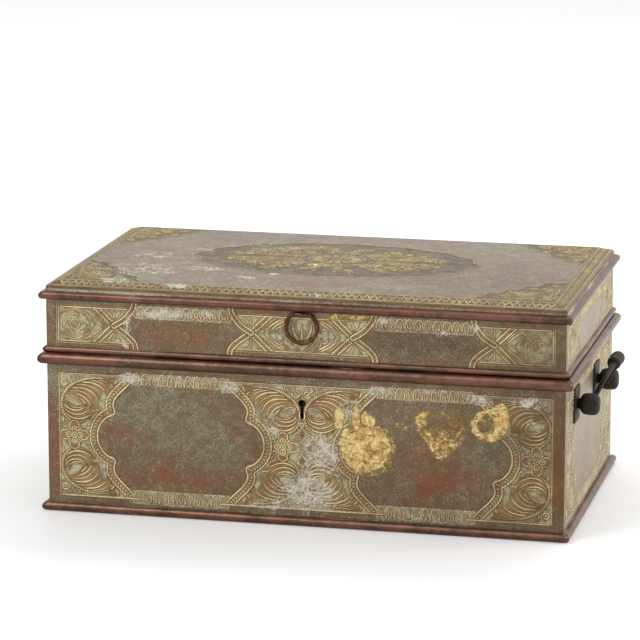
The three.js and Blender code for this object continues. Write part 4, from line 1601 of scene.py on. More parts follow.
@dataclass(frozen=True)
class MouldingBrass:
    """Drawn brass moulding, dark brown and smooth on the nose, with a pale painted highlight on
    the worn upper half of the nose, crusted where it meets a wall.
    """

    dark: Paint = (74, 54, 42)
    red: Paint = (114, 76, 62)
    worn: Paint = (158, 122, 102)
    green: Paint = (122, 118, 96)
    crust: Paint = (186, 182, 160)

    def make(self) -> Material:
        """Builds the material from the nose and crevice masks that the mouldings carry.

        Returns:
            The material.
        """
        n = Finish("Moulding brass", "moulding_brass")
        nose, crevice, chalk, _ = n.marks("worn")
        fine = n.noise(1.4, 4, 0.8, 0.2, 4)
        cloud = n.total(0.0, (n.noise(30, 5, 0.65, 0.5), 0.8), (n.noise(5, 4, 0.7, 0.2, 5), 0.25))
        base = n.mix(n.step(cloud, 0.42, 0.62), self.dark, self.red)
        # Paler rubbed metal on the upper nose: part wear, part painted highlight.
        rubbed = n.times(nose, n.step(n.noise(11, 5, 0.7, 0.3, 2), 0.3, 0.65))
        base = n.mix(n.times(rubbed, 0.9), base, self.worn)
        base = n.mix(n.times(n.step(fine, 0.55, 0.7), 0.45), base, self.green)
        edge = n.total(-0.42, (crevice, 0.5), (n.noise(4, 6, 0.85, 0.6, 6), 1.0), (chalk, 0.28))
        lime = n.step(edge, 0.34, 0.62)
        deposit = n.step(n.total(0.0, (fine, 1.0), (chalk, 0.12)), 0.46, 0.62)
        base = n.mix(n.times(lime, 0.8), base, n.mix(deposit, self.green, self.crust))
        rough = n.total(0.22, (n.noise(3, 4, 0.7, 0, 8), 0.24), (lime, 0.4))
        n.bump(n.total(0.0, (fine, 1.0), (lime, 0.6)), 0.12, 0.6)
        return n.done(base, n.total(0.82, (lime, -0.7)), rough)


@dataclass(frozen=True)
class PlainMetal:
    """Metal in one or two tones, with cloudy stains and fine pits."""

    name: str
    slot: str
    dark: Paint
    light: Paint
    pale: Paint
    pale_share: float = 0.3
    metal: float = 0.8
    rough: float = 0.4
    gloss: float = 0.5
    cloud: float = 14.0
    pits: float = 0.12

    def make(self) -> Material:
        """Builds the material.

        Returns:
            The material.
        """
        n = Finish(self.name, self.slot)
        base = n.mix(n.step(n.noise(self.cloud, 6, 0.65, 0.5), 0.35, 0.65), self.dark, self.light)
        fine = n.noise(1.2, 5, 0.75, 0.2, 3)
        flecks = n.times(n.step(fine, 0.56, 0.7), self.pale_share)
        base = n.mix(flecks, base, self.pale)
        rough = n.math("ADD", n.times(n.noise(3, 5, 0.7, 0, 5), 0.3), self.rough - 0.15)
        shine = n.math("SUBTRACT", self.metal, n.times(flecks, 0.6))
        grain = n.times(n.noise(5, 4, 0.6, 0, 7), 0.5)
        n.bump(n.math("ADD", n.times(fine, 0.5), grain), self.pits, 0.8)
        return n.done(base, shine, rough, self.gloss)


@dataclass
class Palette:
    """Every finish on the casket, made once and shared."""

    wall: Material
    end: Material
    top: Material
    moulding: Material
    inside: Material
    fitting: Material
    ring: Material
    iron: Material

    @classmethod
    def mixed(cls) -> Palette:
        """Makes all the finishes.

        Returns:
            The palette.
        """
        return cls(
            wall=ChasedBrass().make(),
            # The end walls take a paler copy of the wall brass: a painted reflection of the white
            # surroundings, as seen at a grazing view.
            end=ChasedBrass(
                "Chased end brass", red=(152, 116, 94), brown=(146, 126, 106),
                green=(150, 142, 124), body_red=(140, 118, 92), body_gold=(158, 144, 108),
                line_red=(186, 168, 130), line_pale=(216, 206, 168), ground=(168, 160, 136),
                ground_dark=(134, 122, 100),
            ).make(),
            top=ChasedBrass(
                "Chased lid brass", "lid_brass", red=(116, 86, 72), brown=(114, 96, 84),
                green=(112, 104, 84), speck=(172, 162, 138), body_red=(112, 88, 56),
                body_gold=(140, 122, 74), line_red=(150, 124, 78), line_pale=(192, 178, 122),
                ground=(106, 96, 68), ground_dark=(66, 54, 38),
            ).make(),
            moulding=MouldingBrass().make(),
            inside=PlainMetal("Inner brass", "inner_brass", (106, 80, 50), (130, 102, 64),
                              (150, 140, 104), 0.35, 0.75, 0.5, cloud=22.0).make(),
            fitting=PlainMetal("Fitting brass", "fitting_brass", (92, 66, 44), (136, 104, 64),
                               (150, 138, 100), 0.35, 0.8, 0.42).make(),
            ring=PlainMetal("Ring brass", "ring_brass", (66, 40, 30), (110, 68, 50),
                            (168, 132, 104), 0.3, 0.85, 0.34, cloud=8.0).make(),
            iron=PlainMetal("Handle iron", "iron", (34, 28, 26), (58, 49, 44), (104, 92, 82),
                            0.3, 0.3, 0.6, 0.2, 9.0, 0.2).make(),
        )


@dataclass
class Moulding:
    """A length of drawn moulding along one side, mitred at the corners or cut square."""

    side: Side
    profile: Sequence[Point]
    body: Body
    start: float | None = None
    stop: float | None = None
    seed: int = 1

    def end(self, out: Array, direction: float, square: float | None) -> Array:
        """Gives where an end is cut, for each distance out from the wall."""
        if square is not None:
            return np.full(out.shape, square)
        return direction * (self.side.half + out - 0.3 / math.sqrt(2))

    def solid(self) -> Solid:
        """Sweeps the profile along the side, with the small dents of long use.

        Returns:
            The closed solid, with its crevice and its crust marked, and the upper half of its nose
            marked for wear and a painted highlight.
        """
        out, up = np.asarray(self.profile, float).T
        left, right = self.end(out, -1, self.start), self.end(out, 1, self.stop)
        count = max(2, int((right.max() - left.min()) / 4.0))
        along = left + (right - left) * np.linspace(0, 1, count + 1)[:, None]
        reach = out.max()
        exposed = np.clip(out / reach, 0, 1) ** 2
        dent = 0.12 * np.clip(even_noise(along, up + 0 * along, 23, self.seed), 0, 1)
        dent += 0.05 * np.clip(even_noise(along, out + 0 * along, 7, self.seed + 9), 0, 1)
        solid = loft(self.side.place(along, out - dent * exposed, up + 0 * along), reverse=True)
        middle = (up.max() + up.min()) / 2
        crevice = np.clip(1 - out / (0.5 * reach), 0, 1) + 0 * along
        # Upper half of the nose only: the mark carries a painted highlight as well as wear.
        nose = np.clip((up - middle) / (up.max() - middle) * exposed, 0, 1) + 0 * along
        worn = np.stack([nose, crevice, self.chalk(along), 0 * along + 1], axis=-1)
        solid.marks["worn"] = worn.reshape(-1, 4)
        return solid

    def chalk(self, along: Array) -> Array:
        """Gives how much crust lies along the moulding.

        Args:
            along: places along the side.

        Returns:
            The crust there, from 0 to 1.
        """
        soft = np.clip(even_noise(along, 0 * along, 60, self.seed + 30) * 0.8, 0, 1)
        if self.side is Side.FRONT:
            soft = soft * np.clip((150 - along) / 60, 0.2, 1)
            for at, reach, most in ((150, 30, 0.9), (180, 60, 0.55)):
                soft = np.maximum(soft, np.exp(-((along + at) / reach) ** 2) * most)
        return soft


def half_round(bottom: float, height: float, reach: float) -> list[Point]:
    """Gives the outline of a half-round moulding, from its foot outwards and up.

    Args:
        bottom, height: the level of its foot, and its height.
        reach: how far it stands out.

    Returns:
        The outline, as distance out and height.
    """
    depth, half = min(height / 2, reach), height / 2
    nose = [(reach - depth + depth * math.cos(a), bottom + half + half * math.sin(a))
            for a in np.radians(np.linspace(-90, 90, 15))]
    return [(0.0, bottom), *nose, (0.0, bottom + height)]


def cornice(reach: float = 5.4, cove_foot: float = 0.4) -> list[Point]:
    """Gives the outline of the cornice, with the hollow that runs up to the lid's edge.

    Args:
        reach: how far it stands out.
        cove_foot: how far the top of the hollow stands out.

    Returns:
        The outline, as distance out and height.
    """
    points = half_round(BOX.cornice_bottom, BOX.cornice_height, reach)[:-1]
    start, bend, top = points[-1], (cove_foot, points[-1][1]), (cove_foot, BOX.lid_top)
    for share in (0.2, 0.4, 0.6, 0.8, 1.0):
        points.append(tuple((1 - share) ** 2 * a + 2 * share * (1 - share) * b + share**2 * c
                            for a, b, c in zip(start, bend, top)))
    return [*points, (0.0, BOX.lid_top)]


def make_mouldings(material: Material, hinge_at: float = 130.0, hinge_room: float = 19.6) -> None:
    """Adds all the mouldings that run round the casket.

    Args:
        material: their finish.
        hinge_at: how far the hinges are from the middle of the back.
        hinge_room: half of the gap that a hinge needs.
    """
    kinds = (
        ("plinth_moulding", Body.BASE, half_round(0, BOX.plinth_height, 5.2), False),
        ("rim_moulding", Body.BASE,
         half_round(BOX.base_top - BOX.rim_height, BOX.rim_height, 6.9), True),
        ("lid_bead", Body.LID, half_round(BOX.lid_bottom, BOX.bead_height, 3.0), True),
        ("lid_cornice", Body.LID, cornice(), False),
    )
    inner, outer = hinge_at - hinge_room, hinge_at + hinge_room
    parts = (("_right", None, -outer), ("_middle", -inner, inner), ("_left", outer, None))
    for number, (kind, body, profile, parted) in enumerate(kinds):
        for order, side in enumerate(Side):
            whole = not (parted and side is Side.BACK)
            for end, start, stop in (("", None, None),) if whole else parts:
                node = f"{side.name.lower()}_{kind}{end}"
                length = Moulding(side, profile, body, start, stop, number * 10 + order)
                length.solid().make(f"{node}_drawn", body, [material], node)


def keyhole() -> Array:
    """Gives the keyhole's outline: a round hole with a straight slot below it."""
    centre, radius, half_slot, foot = 106.7, 3.25, 1.5, 93.4
    meet = math.degrees(math.asin(half_slot / radius))
    arc = ring_path(0, centre, radius, -90 + meet, 360 - 2 * meet)
    return np.vstack([arc, [(-half_slot, foot), (half_slot, foot)]])


def round_holes(places: Iterable[Point], radius: float) -> list[Array]:
    """Gives the outlines of round holes."""
    return [ring_path(u, v, radius)[:-1] for u, v in places]


# Stains of each side: rows of a patch's middle, its reach both ways and its strength. Those of
# the base and of the lid follow each other. Crust is chalky white, bare is rubbed metal, tone
# is grey-green or, below 0, red. The shade rows are painted shade: browner, darker patina for
# the fall of light, heaviest toward the right end of the front, laid over both base and lid.
STAINS = {
    (Side.FRONT, Body.BASE): {
        "crust": (
            (-152, 121, 16, 9), (-104, 121, 60, 6, 0.6), (-64, 117, 14, 9, 0.95),
            (-30, 92, 18, 14, 0.6), (-24, 82, 10, 7, 0.9), (6, 30, 40, 30, 0.9),
            (16, 64, 30, 28, 0.8), (-20, 16, 60, 8, 0.7), (66, 122, 22, 8, 0.9),
            (108, 124, 40, 5, 0.6), (150, 118, 16, 10, 0.8), (196, 118, 22, 9, 0.7),
            (200, 98, 14, 10, 0.6), (-110, 17, 60, 7, 0.45), (110, 13, 50, 7, 0.6),
            (40, 106, 20, 20, 0.6), (20, 45, 30, 20, 0.6), (0, 9, 225, 3.5, 0.6),
            (-206, 118, 16, 8, 0.4), (86, 103, 7, 12, 0.5),
        ),
        "tone": (
            (-130, 96, 60, 26, 0.5), (-84, 66, 50, 34, 0.3), (-160, 72, 20, 16, -0.25),
            (-110, 34, 80, 16, -0.35), (110, 50, 80, 40, -0.25), (70, 36, 26, 16, 0.3),
            (150, 70, 30, 20, 0.3), (150, 40, 30, 20, 0.25), (120, 44, 30, 14, -0.35),
            (-220, 60, 9, 60, -0.35), (-220, 120, 9, 16, 0.5), (220, 60, 9, 60, -0.4),
            (130, 97, 16, 10, -0.5),
        ),
    },
    (Side.RIGHT, Body.BASE): {
        "crust": ((-80, 112, 40, 20, 0.5), (90, 40, 40, 50, 0.4), (0, 16, 120, 6, 0.5)),
        "tone": ((0, 70, 110, 50, 0.2),),
    },
    (Side.LEFT, Body.BASE): {
        "crust": ((60, 116, 70, 8, 0.6), (-90, 30, 40, 24, 0.5), (20, 12, 110, 5, 0.5)),
        "tone": ((30, 70, 90, 44, 0.3),),
    },
    (Side.BACK, Body.BASE): {
        "crust": ((-110, 119, 60, 8, 0.6), (120, 20, 70, 9, 0.6), (10, 60, 30, 30, 0.5),
                  (0, 9, 225, 4, 0.4)),
        "tone": ((-100, 70, 80, 40, 0.4), (100, 60, 70, 40, -0.2)),
    },
    (Side.FRONT, Body.LID): {
        "crust": (
            (-120, 178, 36, 9, 0.95), (-78, 181, 18, 7, 0.9), (-152, 168, 7, 14, 0.9),
            (-154, 148, 6, 4, 1), (-190, 165, 30, 16, 0.4), (70, 183, 9, 5, 1),
            (-100, 172, 40, 8, 0.5), (122, 172, 14, 6, 0.8), (148, 180, 10, 6, 0.7),
            (20, 168, 30, 14, 0.3), (0, 147, 200, 2.4, 0.4),
        ),
        "bare": ((40, 183, 40, 5, 0.5), (-10, 172, 60, 12, 0.2)),
        "tone": ((-104, 160, 60, 12, -0.4), (104, 160, 60, 12, 0.4), (-176, 183, 40, 5, 0.4)),
    },
    (Side.RIGHT, Body.LID): {"crust": ((0, 182, 120, 4, 0.4), (80, 166, 40, 14, 0.4))},
    (Side.LEFT, Body.LID): {"crust": ((80, 172, 40, 12, 0.6), (-60, 150, 50, 6, 0.5))},
    (Side.BACK, Body.LID): {
        "crust": ((-60, 178, 60, 8, 0.6), (120, 156, 50, 10, 0.5)),
        "tone": ((-104, 160, 60, 12, 0.4),),
    },
}
# Painted shade: browner, darker patches for the fall of light, heaviest toward the right end of
# the front.
PAINTED_SHADE = {
    Side.FRONT: ((210, 90, 110, 200, 0.95), (110, 36, 100, 60, 0.5), (116, 164, 90, 20, 1),
                 (-200, 66, 24, 40, 0.2), (-30, 60, 20, 50, 0.3)),
    Side.BACK: ((-190, 90, 120, 160, 0.6), (60, 60, 90, 50, 0.4)),
}
TOP_STAINS = {
    "crust": (
        (-150, -70, 70, 60, 0.75), (-110, -60, 46, 18, 0.9), (-165, -115, 30, 12, 0.9),
        (-112, -122, 16, 6, 1.2), (-40, -70, 9, 6, 1.2), (-60, -86, 20, 6, 1),
        (-160, -10, 36, 30, 0.75), (-130, 20, 24, 12, 0.8), (-70, 40, 44, 30, 0.65),
        (110, 40, 14, 8, 0.6), (-185, 100, 30, 20, 0.4), (10, -126, 26, 5, 0.6),
        (-70, 95, 9, 6, 0.6), (-200, -20, 20, 60, 0.35),
    ),
    "bare": ((-10, -25, 24, 12, 0.5), (180, -95, 24, 12, 0.4), (-30, 50, 30, 14, 0.4)),
    "tone": ((80, -95, 60, 14, 0.4), (10, -95, 50, 12, -0.4), (0, 0, 200, 100, 0.1)),
    # Painted shade over the right of the top and in a strip along its front edge.
    "shade": ((160, -80, 140, 110, 0.6), (-60, -128, 200, 12, 0.4)),
}
# Areas of the front that are rubbed bare, later ones over earlier ones, and how bare each is.
RUBBED = (
    ([(31.6, 72), (33, 82), (39, 89), (52, 93), (66, 91.5), (78, 88), (81, 76), (80, 62),
      (74, 52), (62, 46.5), (50, 46), (41, 50), (34, 60)], 0.42),
    ([(33, 72), (35, 84), (46, 89), (60, 88), (73, 84), (76, 74), (72, 60), (62, 52),
      (48, 50), (38, 58)], 0.72),
    ([(43.4, 84), (44, 106), (49, 106), (49.6, 84)], 0.95),
    ([(52, 93), (53, 103), (59, 100), (64, 97), (60, 91)], 0.8),
    ([(97, 98), (101, 104), (110, 107), (112, 100), (106, 92), (101, 90)], 0.62),
    ([(98, 90), (110, 92), (124, 94), (140, 90), (137, 78), (121, 63.5), (110, 74)], 0.45),
    ([(106, 82), (121, 84), (135, 82), (121, 65.5)], 0.56),
    ([(110, 106), (124, 109), (140, 108), (150, 100), (146, 90), (128, 92), (110, 94)], 0.3),
    ([(146, 98), (150, 107), (160, 111), (172, 117), (178, 108), (176, 92), (166, 83),
      (154, 84), (147, 90)], 0.68),
    ([(151, 98), (155, 105), (163, 104), (166, 96), (161, 89), (153, 90)], 0.36),
    ([(27, 92), (28, 103), (33, 105), (37, 101), (36, 92), (33, 86), (29, 87)], 0.75),
    ([(38, 94), (42, 95), (46, 88), (44, 83), (39, 87)], 0.42),
    ([(79, 92), (84, 97), (92, 93), (88, 88)], 0.4),
)


@dataclass
class Walls:
    """The chased sheets of the base and the lid."""

    palette: Palette
    pitch: float = 0.62
    stud_holes: tuple[Point, ...] = ((-76.47, 106.42), (33.47, 102.58))
    rivets: tuple[float, ...] = (-141.0, -119.0, 119.0, 141.0)

    def base(self, side: Side) -> None:
        """Adds the base wall of one side."""
        board = self.board(side, BOX.floor_sheet, BOX.base_top)
        frame = side.half - (10.5 if side.long else 9.7)
        fields = ([Cartouche(-107, 73.5), Cartouche(107, 73.5)] if side.long
                  else [Cartouche(0, frame - 34.5)])
        BaseOrnament(board, frame, fields).draw()
        holes = {
            Side.FRONT: [keyhole()],
            Side.BACK: round_holes([(u, 122.2) for u in self.rivets], 1.9),
        }.get(side, round_holes(self.stud_holes, 2.9))
        self.finish(side, Body.BASE, board, holes)

    def lid(self, side: Side) -> None:
        """Adds the lid wall of one side."""
        board = self.board(side, BOX.lid_bottom, BOX.lid_top)
        if side.long:
            fields, crossings = [(-160.2, -48.6), (48.6, 160.2)], (45.1, 165.6)
        else:
            fields, crossings = [(-68.8, 68.8)], (73.2,)
        frame = side.half - (11.0 if side.long else 10.0)
        LidOrnament(board, frame, crossings, fields, palmette=side.long).draw()
        back = [(u, 158.2) for u in self.rivets] if side is Side.BACK else []
        self.finish(side, Body.LID, board, round_holes(back, 1.9))

    def board(self, side: Side, bottom: float, top: float) -> Relief:
        """Gives an empty sheet: the long walls run over the ends of the short ones."""
        half = side.half if side.long else side.half - BOX.sheet
        return Relief(-half, half, bottom, top, self.pitch)

    def finish(self, side: Side, body: Body, board: Relief, holes: Sequence[Array]) -> None:
        """Stains a chased sheet, gives it the slight waves of hammered metal and adds it.

        Args:
            side: the side it stands on.
            body: the body it belongs to.
            board: its chased work.
            holes: the outlines of its holes.
        """
        # The shade rows are painted shade, laid on with the stains.
        board.stain(**STAINS[side, body], shade=PAINTED_SHADE.get(side, ()))
        if (side, body) == (Side.FRONT, Body.BASE):
            for outline, bare in RUBBED:
                board.scrape(outline, bare)
        seed = 50 + list(Side).index(side)
        wave = (even_noise(board.u, board.v, 48, seed) * 0.1
                + even_noise(board.u, board.v, 17, seed + 4) * 0.03)
        board.height += np.minimum(wave, 0.08) * (1 - board.sunk)
        name = f"{body.value}_{side.name.lower()}_wall"
        # The short ends take the paler brass, which carries a painted reflection.
        face = self.palette.wall if side.long else self.palette.end
        Sheet(board, side.place, holes).solid().make(
            f"{name}_chased", body, [face, self.palette.inside], name
        )

    def make(self) -> None:
        """Adds all eight walls."""
        for side in Side:
            self.base(side)
            self.lid(side)


def on_panel(x: Array, out: Array, y: Array) -> Array:
    """Turns places on the lid's panel into places in the frame.

    Args:
        x, y: the place along the box and across it.
        out: the height over the panel's upper face.

    Returns:
        The points in metres.
    """
    under = (out <= -BOX.sheet + 1e-6) & (BOX.inset(x, y) < BOX.sheet)
    height = np.where(under, BOX.lid_top, BOX.panel_top(x, y) + out)
    return np.stack([x, y, height], axis=-1) * MM


def make_lid_top(palette: Palette, pitch: float = 0.78) -> None:
    """Adds the lid's panel, with its sloping border and low crown.

    Args:
        palette: the finishes.
        pitch: about how far apart the points of its relief are.
    """
    half_u, half_v = BOX.length / 2, BOX.depth / 2
    board = Relief(-half_u, half_u, -half_v, half_v, pitch)
    TopOrnament(board).draw()
    board.stain(**TOP_STAINS)
    wave = even_noise(board.u, board.v, 70, 80) * 0.14
    edge = BOX.inset(board.u, board.v)
    board.height += np.minimum(wave, 0.0) * np.clip((edge - 14) / 10, 0, 1)
    board.height = np.minimum(board.height, 0.3 + 0.4 * np.clip(edge / 12 - 1, -1, 0))
    board.height *= np.clip((edge - 0.2) / 1.5, 0, 1)
    highest = BOX.lid_top + BOX.panel_edge + BOX.border_rise + BOX.crown_rise
    board.height = np.minimum(board.height, highest - BOX.panel_top(board.u, board.v))
    Sheet(board, on_panel).solid().make(
        "lid_top_panel_chased", Body.LID, [palette.top, palette.inside], "lid_top_panel"
    )


@dataclass
class Hinge:
    """One of the two riveted hinges on the back, with five knuckles on a headed pin."""

    name: str
    middle: float
    rivets: Sequence[tuple[float, int]]
    width: float = 36.0
    height: float = 27.0
    leaf: float = 1.5
    knuckle: float = 3.2
    pin: float = 1.5
    bore: float = 1.58
    away: float = 3.5
    axis: float = 140.15
    rivet_from_axis: float = 18.0
    knuckles: int = 5

    def barrel(self, radius: float, bore: float, start: float, stop: float) -> Solid:
        """Builds a round bar along the hinge's axis, or a tube if it has a bore.

        Args:
            radius, bore: half of its width, outside and inside.
            start, stop: its two ends.

        Returns:
            The closed solid.
        """
        soft = 0.25
        line = [(bore, start), (radius - soft, start), (radius, start + soft),
                (radius, stop - soft), (radius - soft, stop), (bore, stop)]
        if bore:
            line.append(line[0])
        return turned(line, 32).moved(lambda p: Side.BACK.put(
            np.column_stack([p[:, 2], p[:, 1] + self.away, p[:, 0] + self.axis])))

    def leaf_solid(self, upper: bool) -> Solid:
        """Builds a leaf: its plate, and the knuckles that it carries.

        Args:
            upper: True for the leaf on the lid.

        Returns:
            The leaf.
        """
        x, half, last = -self.middle, self.width / 2, self.knuckles - 1
        pitch, way = self.width / self.knuckles, 1 if upper else -1
        near, far = self.axis + way * 0.25, self.axis + way * self.height
        clear = self.axis + way * (self.knuckle + 0.3)
        corners, barrels = [], []
        for k in range(self.knuckles):
            start = x - half + k * pitch + (0.15 if k else 0)
            stop = x - half + (k + 1) * pitch - (0.15 if k < last else 0)
            if (k % 2 == 1) == upper:
                corners += [(start, near), (stop, near)]
                barrels.append(self.barrel(self.knuckle, self.bore, start, stop))
            else:
                corners += [(start - 0.3 if k else start, clear),
                            (stop + 0.3 if k < last else stop, clear)]
        corners += [(x + half, far), (x - half, far)]
        along, up = np.array(corners[::way]).T
        out = np.array([[0.0], [self.leaf]])
        solid = loft(Side.BACK.place(along, out, up), flat_sides=True)
        for barrel in barrels:
            solid = solid.joined(barrel)
        return solid

    def make(self, palette: Palette) -> None:
        """Adds both leaves, the pin and the rivets."""
        sides = (("lower", Body.BASE, -1), ("upper", Body.LID, 1))
        for word, body, way in sides:
            node = f"hinge_{self.name}_{word}_leaf"
            self.leaf_solid(way > 0).make(f"{node}_cut", body, [palette.fitting], node)
        x, half = -self.middle, self.width / 2
        pin = self.barrel(self.pin, 0, x - half - 0.2, x + half + 0.2)
        for end in (-1, 1):
            face = x + end * (half + 0.3)
            start, stop = sorted((face, face + end * 1.0))
            pin = pin.joined(self.barrel(2.5, 0, start, stop))
        node = f"hinge_{self.name}_pin"
        pin.make(f"{node}_headed", Body.BASE, [palette.fitting], node)
        head = [(0.0, -2.2), (2.3, -2.2), (2.3, -1.5), (1.6, -1.5), (1.6, self.leaf),
                (2.5, self.leaf), (2.35, 2.1), (1.8, 2.6), (1.0, 2.86), (0.0, 2.95)]
        for word, body, way in sides:
            level = self.axis + way * self.rivet_from_axis
            for at, number in self.rivets:
                node = f"{word}_leaf_rivet_{number}"
                turned(head, 24).moved(lambda p, at=at, level=level: Side.BACK.put(
                    np.column_stack([p[:, 0] - at, p[:, 2], p[:, 1] + level])
                )).make(f"{node}_domed", body, [palette.fitting], node)


@dataclass
class RingPull:
    """The ring that the lid is lifted by, and the tube that it hangs in."""

    pivot: float = 184.2
    away: float = 2.3
    radius: float = 13.35
    wire: float = 1.65
    drop: float = 11.3
    tube_radius: float = 1.75
    tube_length: float = 11.2
    bore: float = 1.15
    pin: float = 0.95
    pin_length: float = 4.4
    saddle: float = 7.0

    def tube_solid(self) -> Solid:
        """Builds the tube under the cornice and the strap that holds it to the wall."""
        half, wide = self.tube_length / 2, self.saddle / 2
        r, b = self.tube_radius, self.bore
        profile = [(b, -half), (r - 0.2, -half), (r, -half + 0.2), (r, half - 0.2),
                   (r - 0.2, half), (b, half), (b, -half)]
        barrel = turned(profile, 32).moved(lambda p: Side.FRONT.put(
            np.column_stack([p[:, 2], p[:, 1] + self.away, p[:, 0] + self.pivot])))
        arc = np.radians(np.linspace(-90, 90, 9))
        out = np.array([0.0, *(self.away + r * np.cos(arc)), 0.0])
        up = np.array([self.pivot - r, *(self.pivot + r * np.sin(arc)), self.pivot + r])
        rings = Side.FRONT.place(np.array([[-wide], [wide]]), out, up)
        return barrel.joined(loft(rings, flat_sides=True, reverse=True))

    def ring_solid(self) -> Solid:
        """Builds the ring, a bent wire whose two ends turn into the tube."""
        centre = self.pivot - self.drop
        start = math.asin(self.drop / self.radius)
        angles = np.linspace(start, -math.pi - start, 73)
        path = np.column_stack([
            self.radius * np.cos(angles), np.full(73, self.away),
            centre + self.radius * np.sin(angles)
        ])
        hoop = Side.FRONT.put(path)
        size = self.wire * (1 - 0.04 * np.clip(even_noise(angles * 9, 0 * angles, 6, 3), 0, 1))
        solid = tube(hoop, size, 18)
        shoulder = self.radius * math.cos(start)
        for end in (-1, 1):
            inner = self.tube_length / 2 - self.pin_length
            line = np.column_stack([
                np.linspace(end * inner, end * (shoulder - 0.6), 8), np.full(8, self.away),
                np.full(8, self.pivot)
            ])
            solid = solid.joined(tube(Side.FRONT.put(line), self.pin, 14))
        return solid

    def make(self, palette: Palette) -> None:
        """Adds the tube and the ring."""
        self.tube_solid().make("ring_tube_rolled", Body.LID, [palette.ring], "ring_tube")
        self.ring_solid().make("pull_ring_bent", Body.RING, [palette.ring], "pull_ring")


@dataclass
class Handle:
    """An end handle: two backplates, two studs with round knobs, and the iron bail in them."""

    side: Side
    body: Body
    middle: float = -21.5
    height: float = 104.5
    tilt: float = 2.0
    spacing: float = 110.0
    plate_width: float = 27.0
    plate_height: float = 30.4
    plate_sheet: float = 1.6
    knob: float = 9.6
    pivot: float = 12.3
    tip: float = 20.6
    neck: float = 4.6
    shank: float = 2.6
    rod: float = 2.5
    pin: float = 1.9
    past_middle: float = 3.0
    gap: float = 1.0
    bend: float = 2.4
    bow: float = 32.0
    lean: float = 25.5
    grip: float = 6.05
    grip_length: float = 28.0
    rings: int = 4

    @property
    def reach(self) -> float:
        """Half of the bow's width between its two feet."""
        return self.spacing / 2 - self.knob - self.gap - self.rod

    def put(self, points: Array) -> Array:
        """Turns points drawn along, out and up from the handle's middle into millimetres."""
        turn = math.radians(self.tilt)
        along, out, up = points.T
        return self.side.place(
            self.middle + along * math.cos(turn) + up * math.sin(turn), out,
            self.height - along * math.sin(turn) + up * math.cos(turn),
        ) / MM

    def backplate(self, at: float) -> Solid:
        """Builds the plate behind a knob."""
        flat = plate(self.plate_width / 2, self.plate_height / 2, 3.0, self.plate_sheet, 0.5)
        return flat.moved(lambda p: self.put(np.column_stack([p[:, 0] + at, p[:, 2], p[:, 1]])))

    def stud(self, at: float) -> Solid:
        """Builds a stud: its riveted tail in the box, its shank, and its round knob."""
        sheet, base = -BOX.sheet, self.plate_sheet
        length = self.tip - base
        foot = (self.neck * 0.9, base + length * 0.1)
        ball = [(0.78, 0.2), (0.9, 0.28), (0.96, 0.36), (1.0, 0.56), (0.97, 0.76), (0.86, 0.9),
                (0.6, 0.98), (0.3, 0.997), (0.0, 1.0)]
        curve = smooth_path([foot] + [(self.knob * r, base + length * s) for r, s in ball], 3)
        tail = [(0.0, sheet - 1.2), (3.6, sheet - 1.2), (4.6, sheet - 0.4), (4.6, sheet),
                (self.shank, sheet), (self.shank, base), (self.neck, base)]

        def forged(p: Array) -> Array:
            """Flattens the knob a little where the hammer met it, and puts it on the end."""
            angle = np.arctan2(p[:, 1], p[:, 0])
            round_part = np.clip((np.hypot(p[:, 0], p[:, 1]) - self.neck) / 4, 0, 1)
            flats = (0.035 * np.sin(3 * angle + at) ** 2
                     + 0.02 * np.sin(5 * angle + p[:, 2] / 3) ** 2)
            size = 1 - flats * round_part
            return self.put(np.column_stack([p[:, 0] * size + at, p[:, 2], p[:, 1] * size]))

        return turned(tail + [tuple(p) for p in curve], 48).moved(forged)

    def leaned(self, points: Array) -> Array:
        """Leans points of the bail out from upright about its pins.

        Args:
            points: along the pins, outwards and upwards from them.

        Returns:
            Places on the end, in millimetres.
        """
        turn = math.radians(self.lean)
        along, out, rise = points.T
        return self.put(np.column_stack([
            along,
            self.pivot + rise * math.sin(turn) + out * math.cos(turn),
            rise * math.cos(turn) - out * math.sin(turn),
        ]))

    def arch(self) -> Array:
        """Gives half of the bail's centre line, from the end of its pin to the top of the bow."""
        turn = np.linspace(0, np.pi / 2, 6)
        elbow = np.column_stack([
            self.reach + self.bend * (1 - np.sin(turn)), self.bend * (1 - np.cos(turn))
        ])
        rise = np.linspace(np.arcsin(self.bend / self.bow), np.arccos(0.4), 16)[1:]
        crown = np.linspace(np.arccos(0.4), np.pi / 2, 46)[1:]
        oval = np.concatenate([rise, crown])
        bow = np.column_stack([self.reach * np.cos(oval), self.bow * np.sin(oval)])
        pin = np.column_stack([
            np.linspace(self.spacing / 2 + self.past_middle, elbow[0, 0] + 0.8, 6), np.zeros(6)
        ])
        return np.vstack([pin, elbow, bow])

    def thickness(self, line: Array) -> Array:
        """Gives the bail's radius at each point of its centre line.

        Args:
            line: along the pins and up from them, one row a point.

        Returns:
            The pin's radius, the rod's, or that of the ringed grip on the middle of the bow.
        """
        along = np.abs(line[:, 0])
        climb = np.clip(line[:, 1] / self.bow, 0, 1)
        rod = self.pin + (self.rod - self.pin) * climb**0.7
        run = np.concatenate([[0.0], np.cumsum(np.hypot(*np.diff(line, axis=0).T))])
        place = np.abs(run - run[-1] / 2)
        half = self.grip_length / 2
        ring = (half - place) / self.grip_length * self.rings % 1.0
        bead = self.grip * (0.82 + 0.18 * np.sqrt(np.clip(1 - (2 * ring - 1) ** 2, 0, 1)))
        shoulder = np.clip((half - place) / 1.6, 0, 1)
        shoulder = np.sqrt(1 - (1 - shoulder) ** 2)
        return np.where((place < half) & (along < self.reach), rod + (bead - rod) * shoulder, rod)

    def bail(self) -> Solid:
        """Builds the bail: its pins, its bowed rod and the ringed grip on the middle of it."""
        half = self.arch()
        line = np.vstack([half, half[-2::-1] * (-1, 1)])
        return tube(self.leaned(np.column_stack([line[:, 0], 0 * line[:, 0], line[:, 1]])),
                    self.thickness(line), 24)

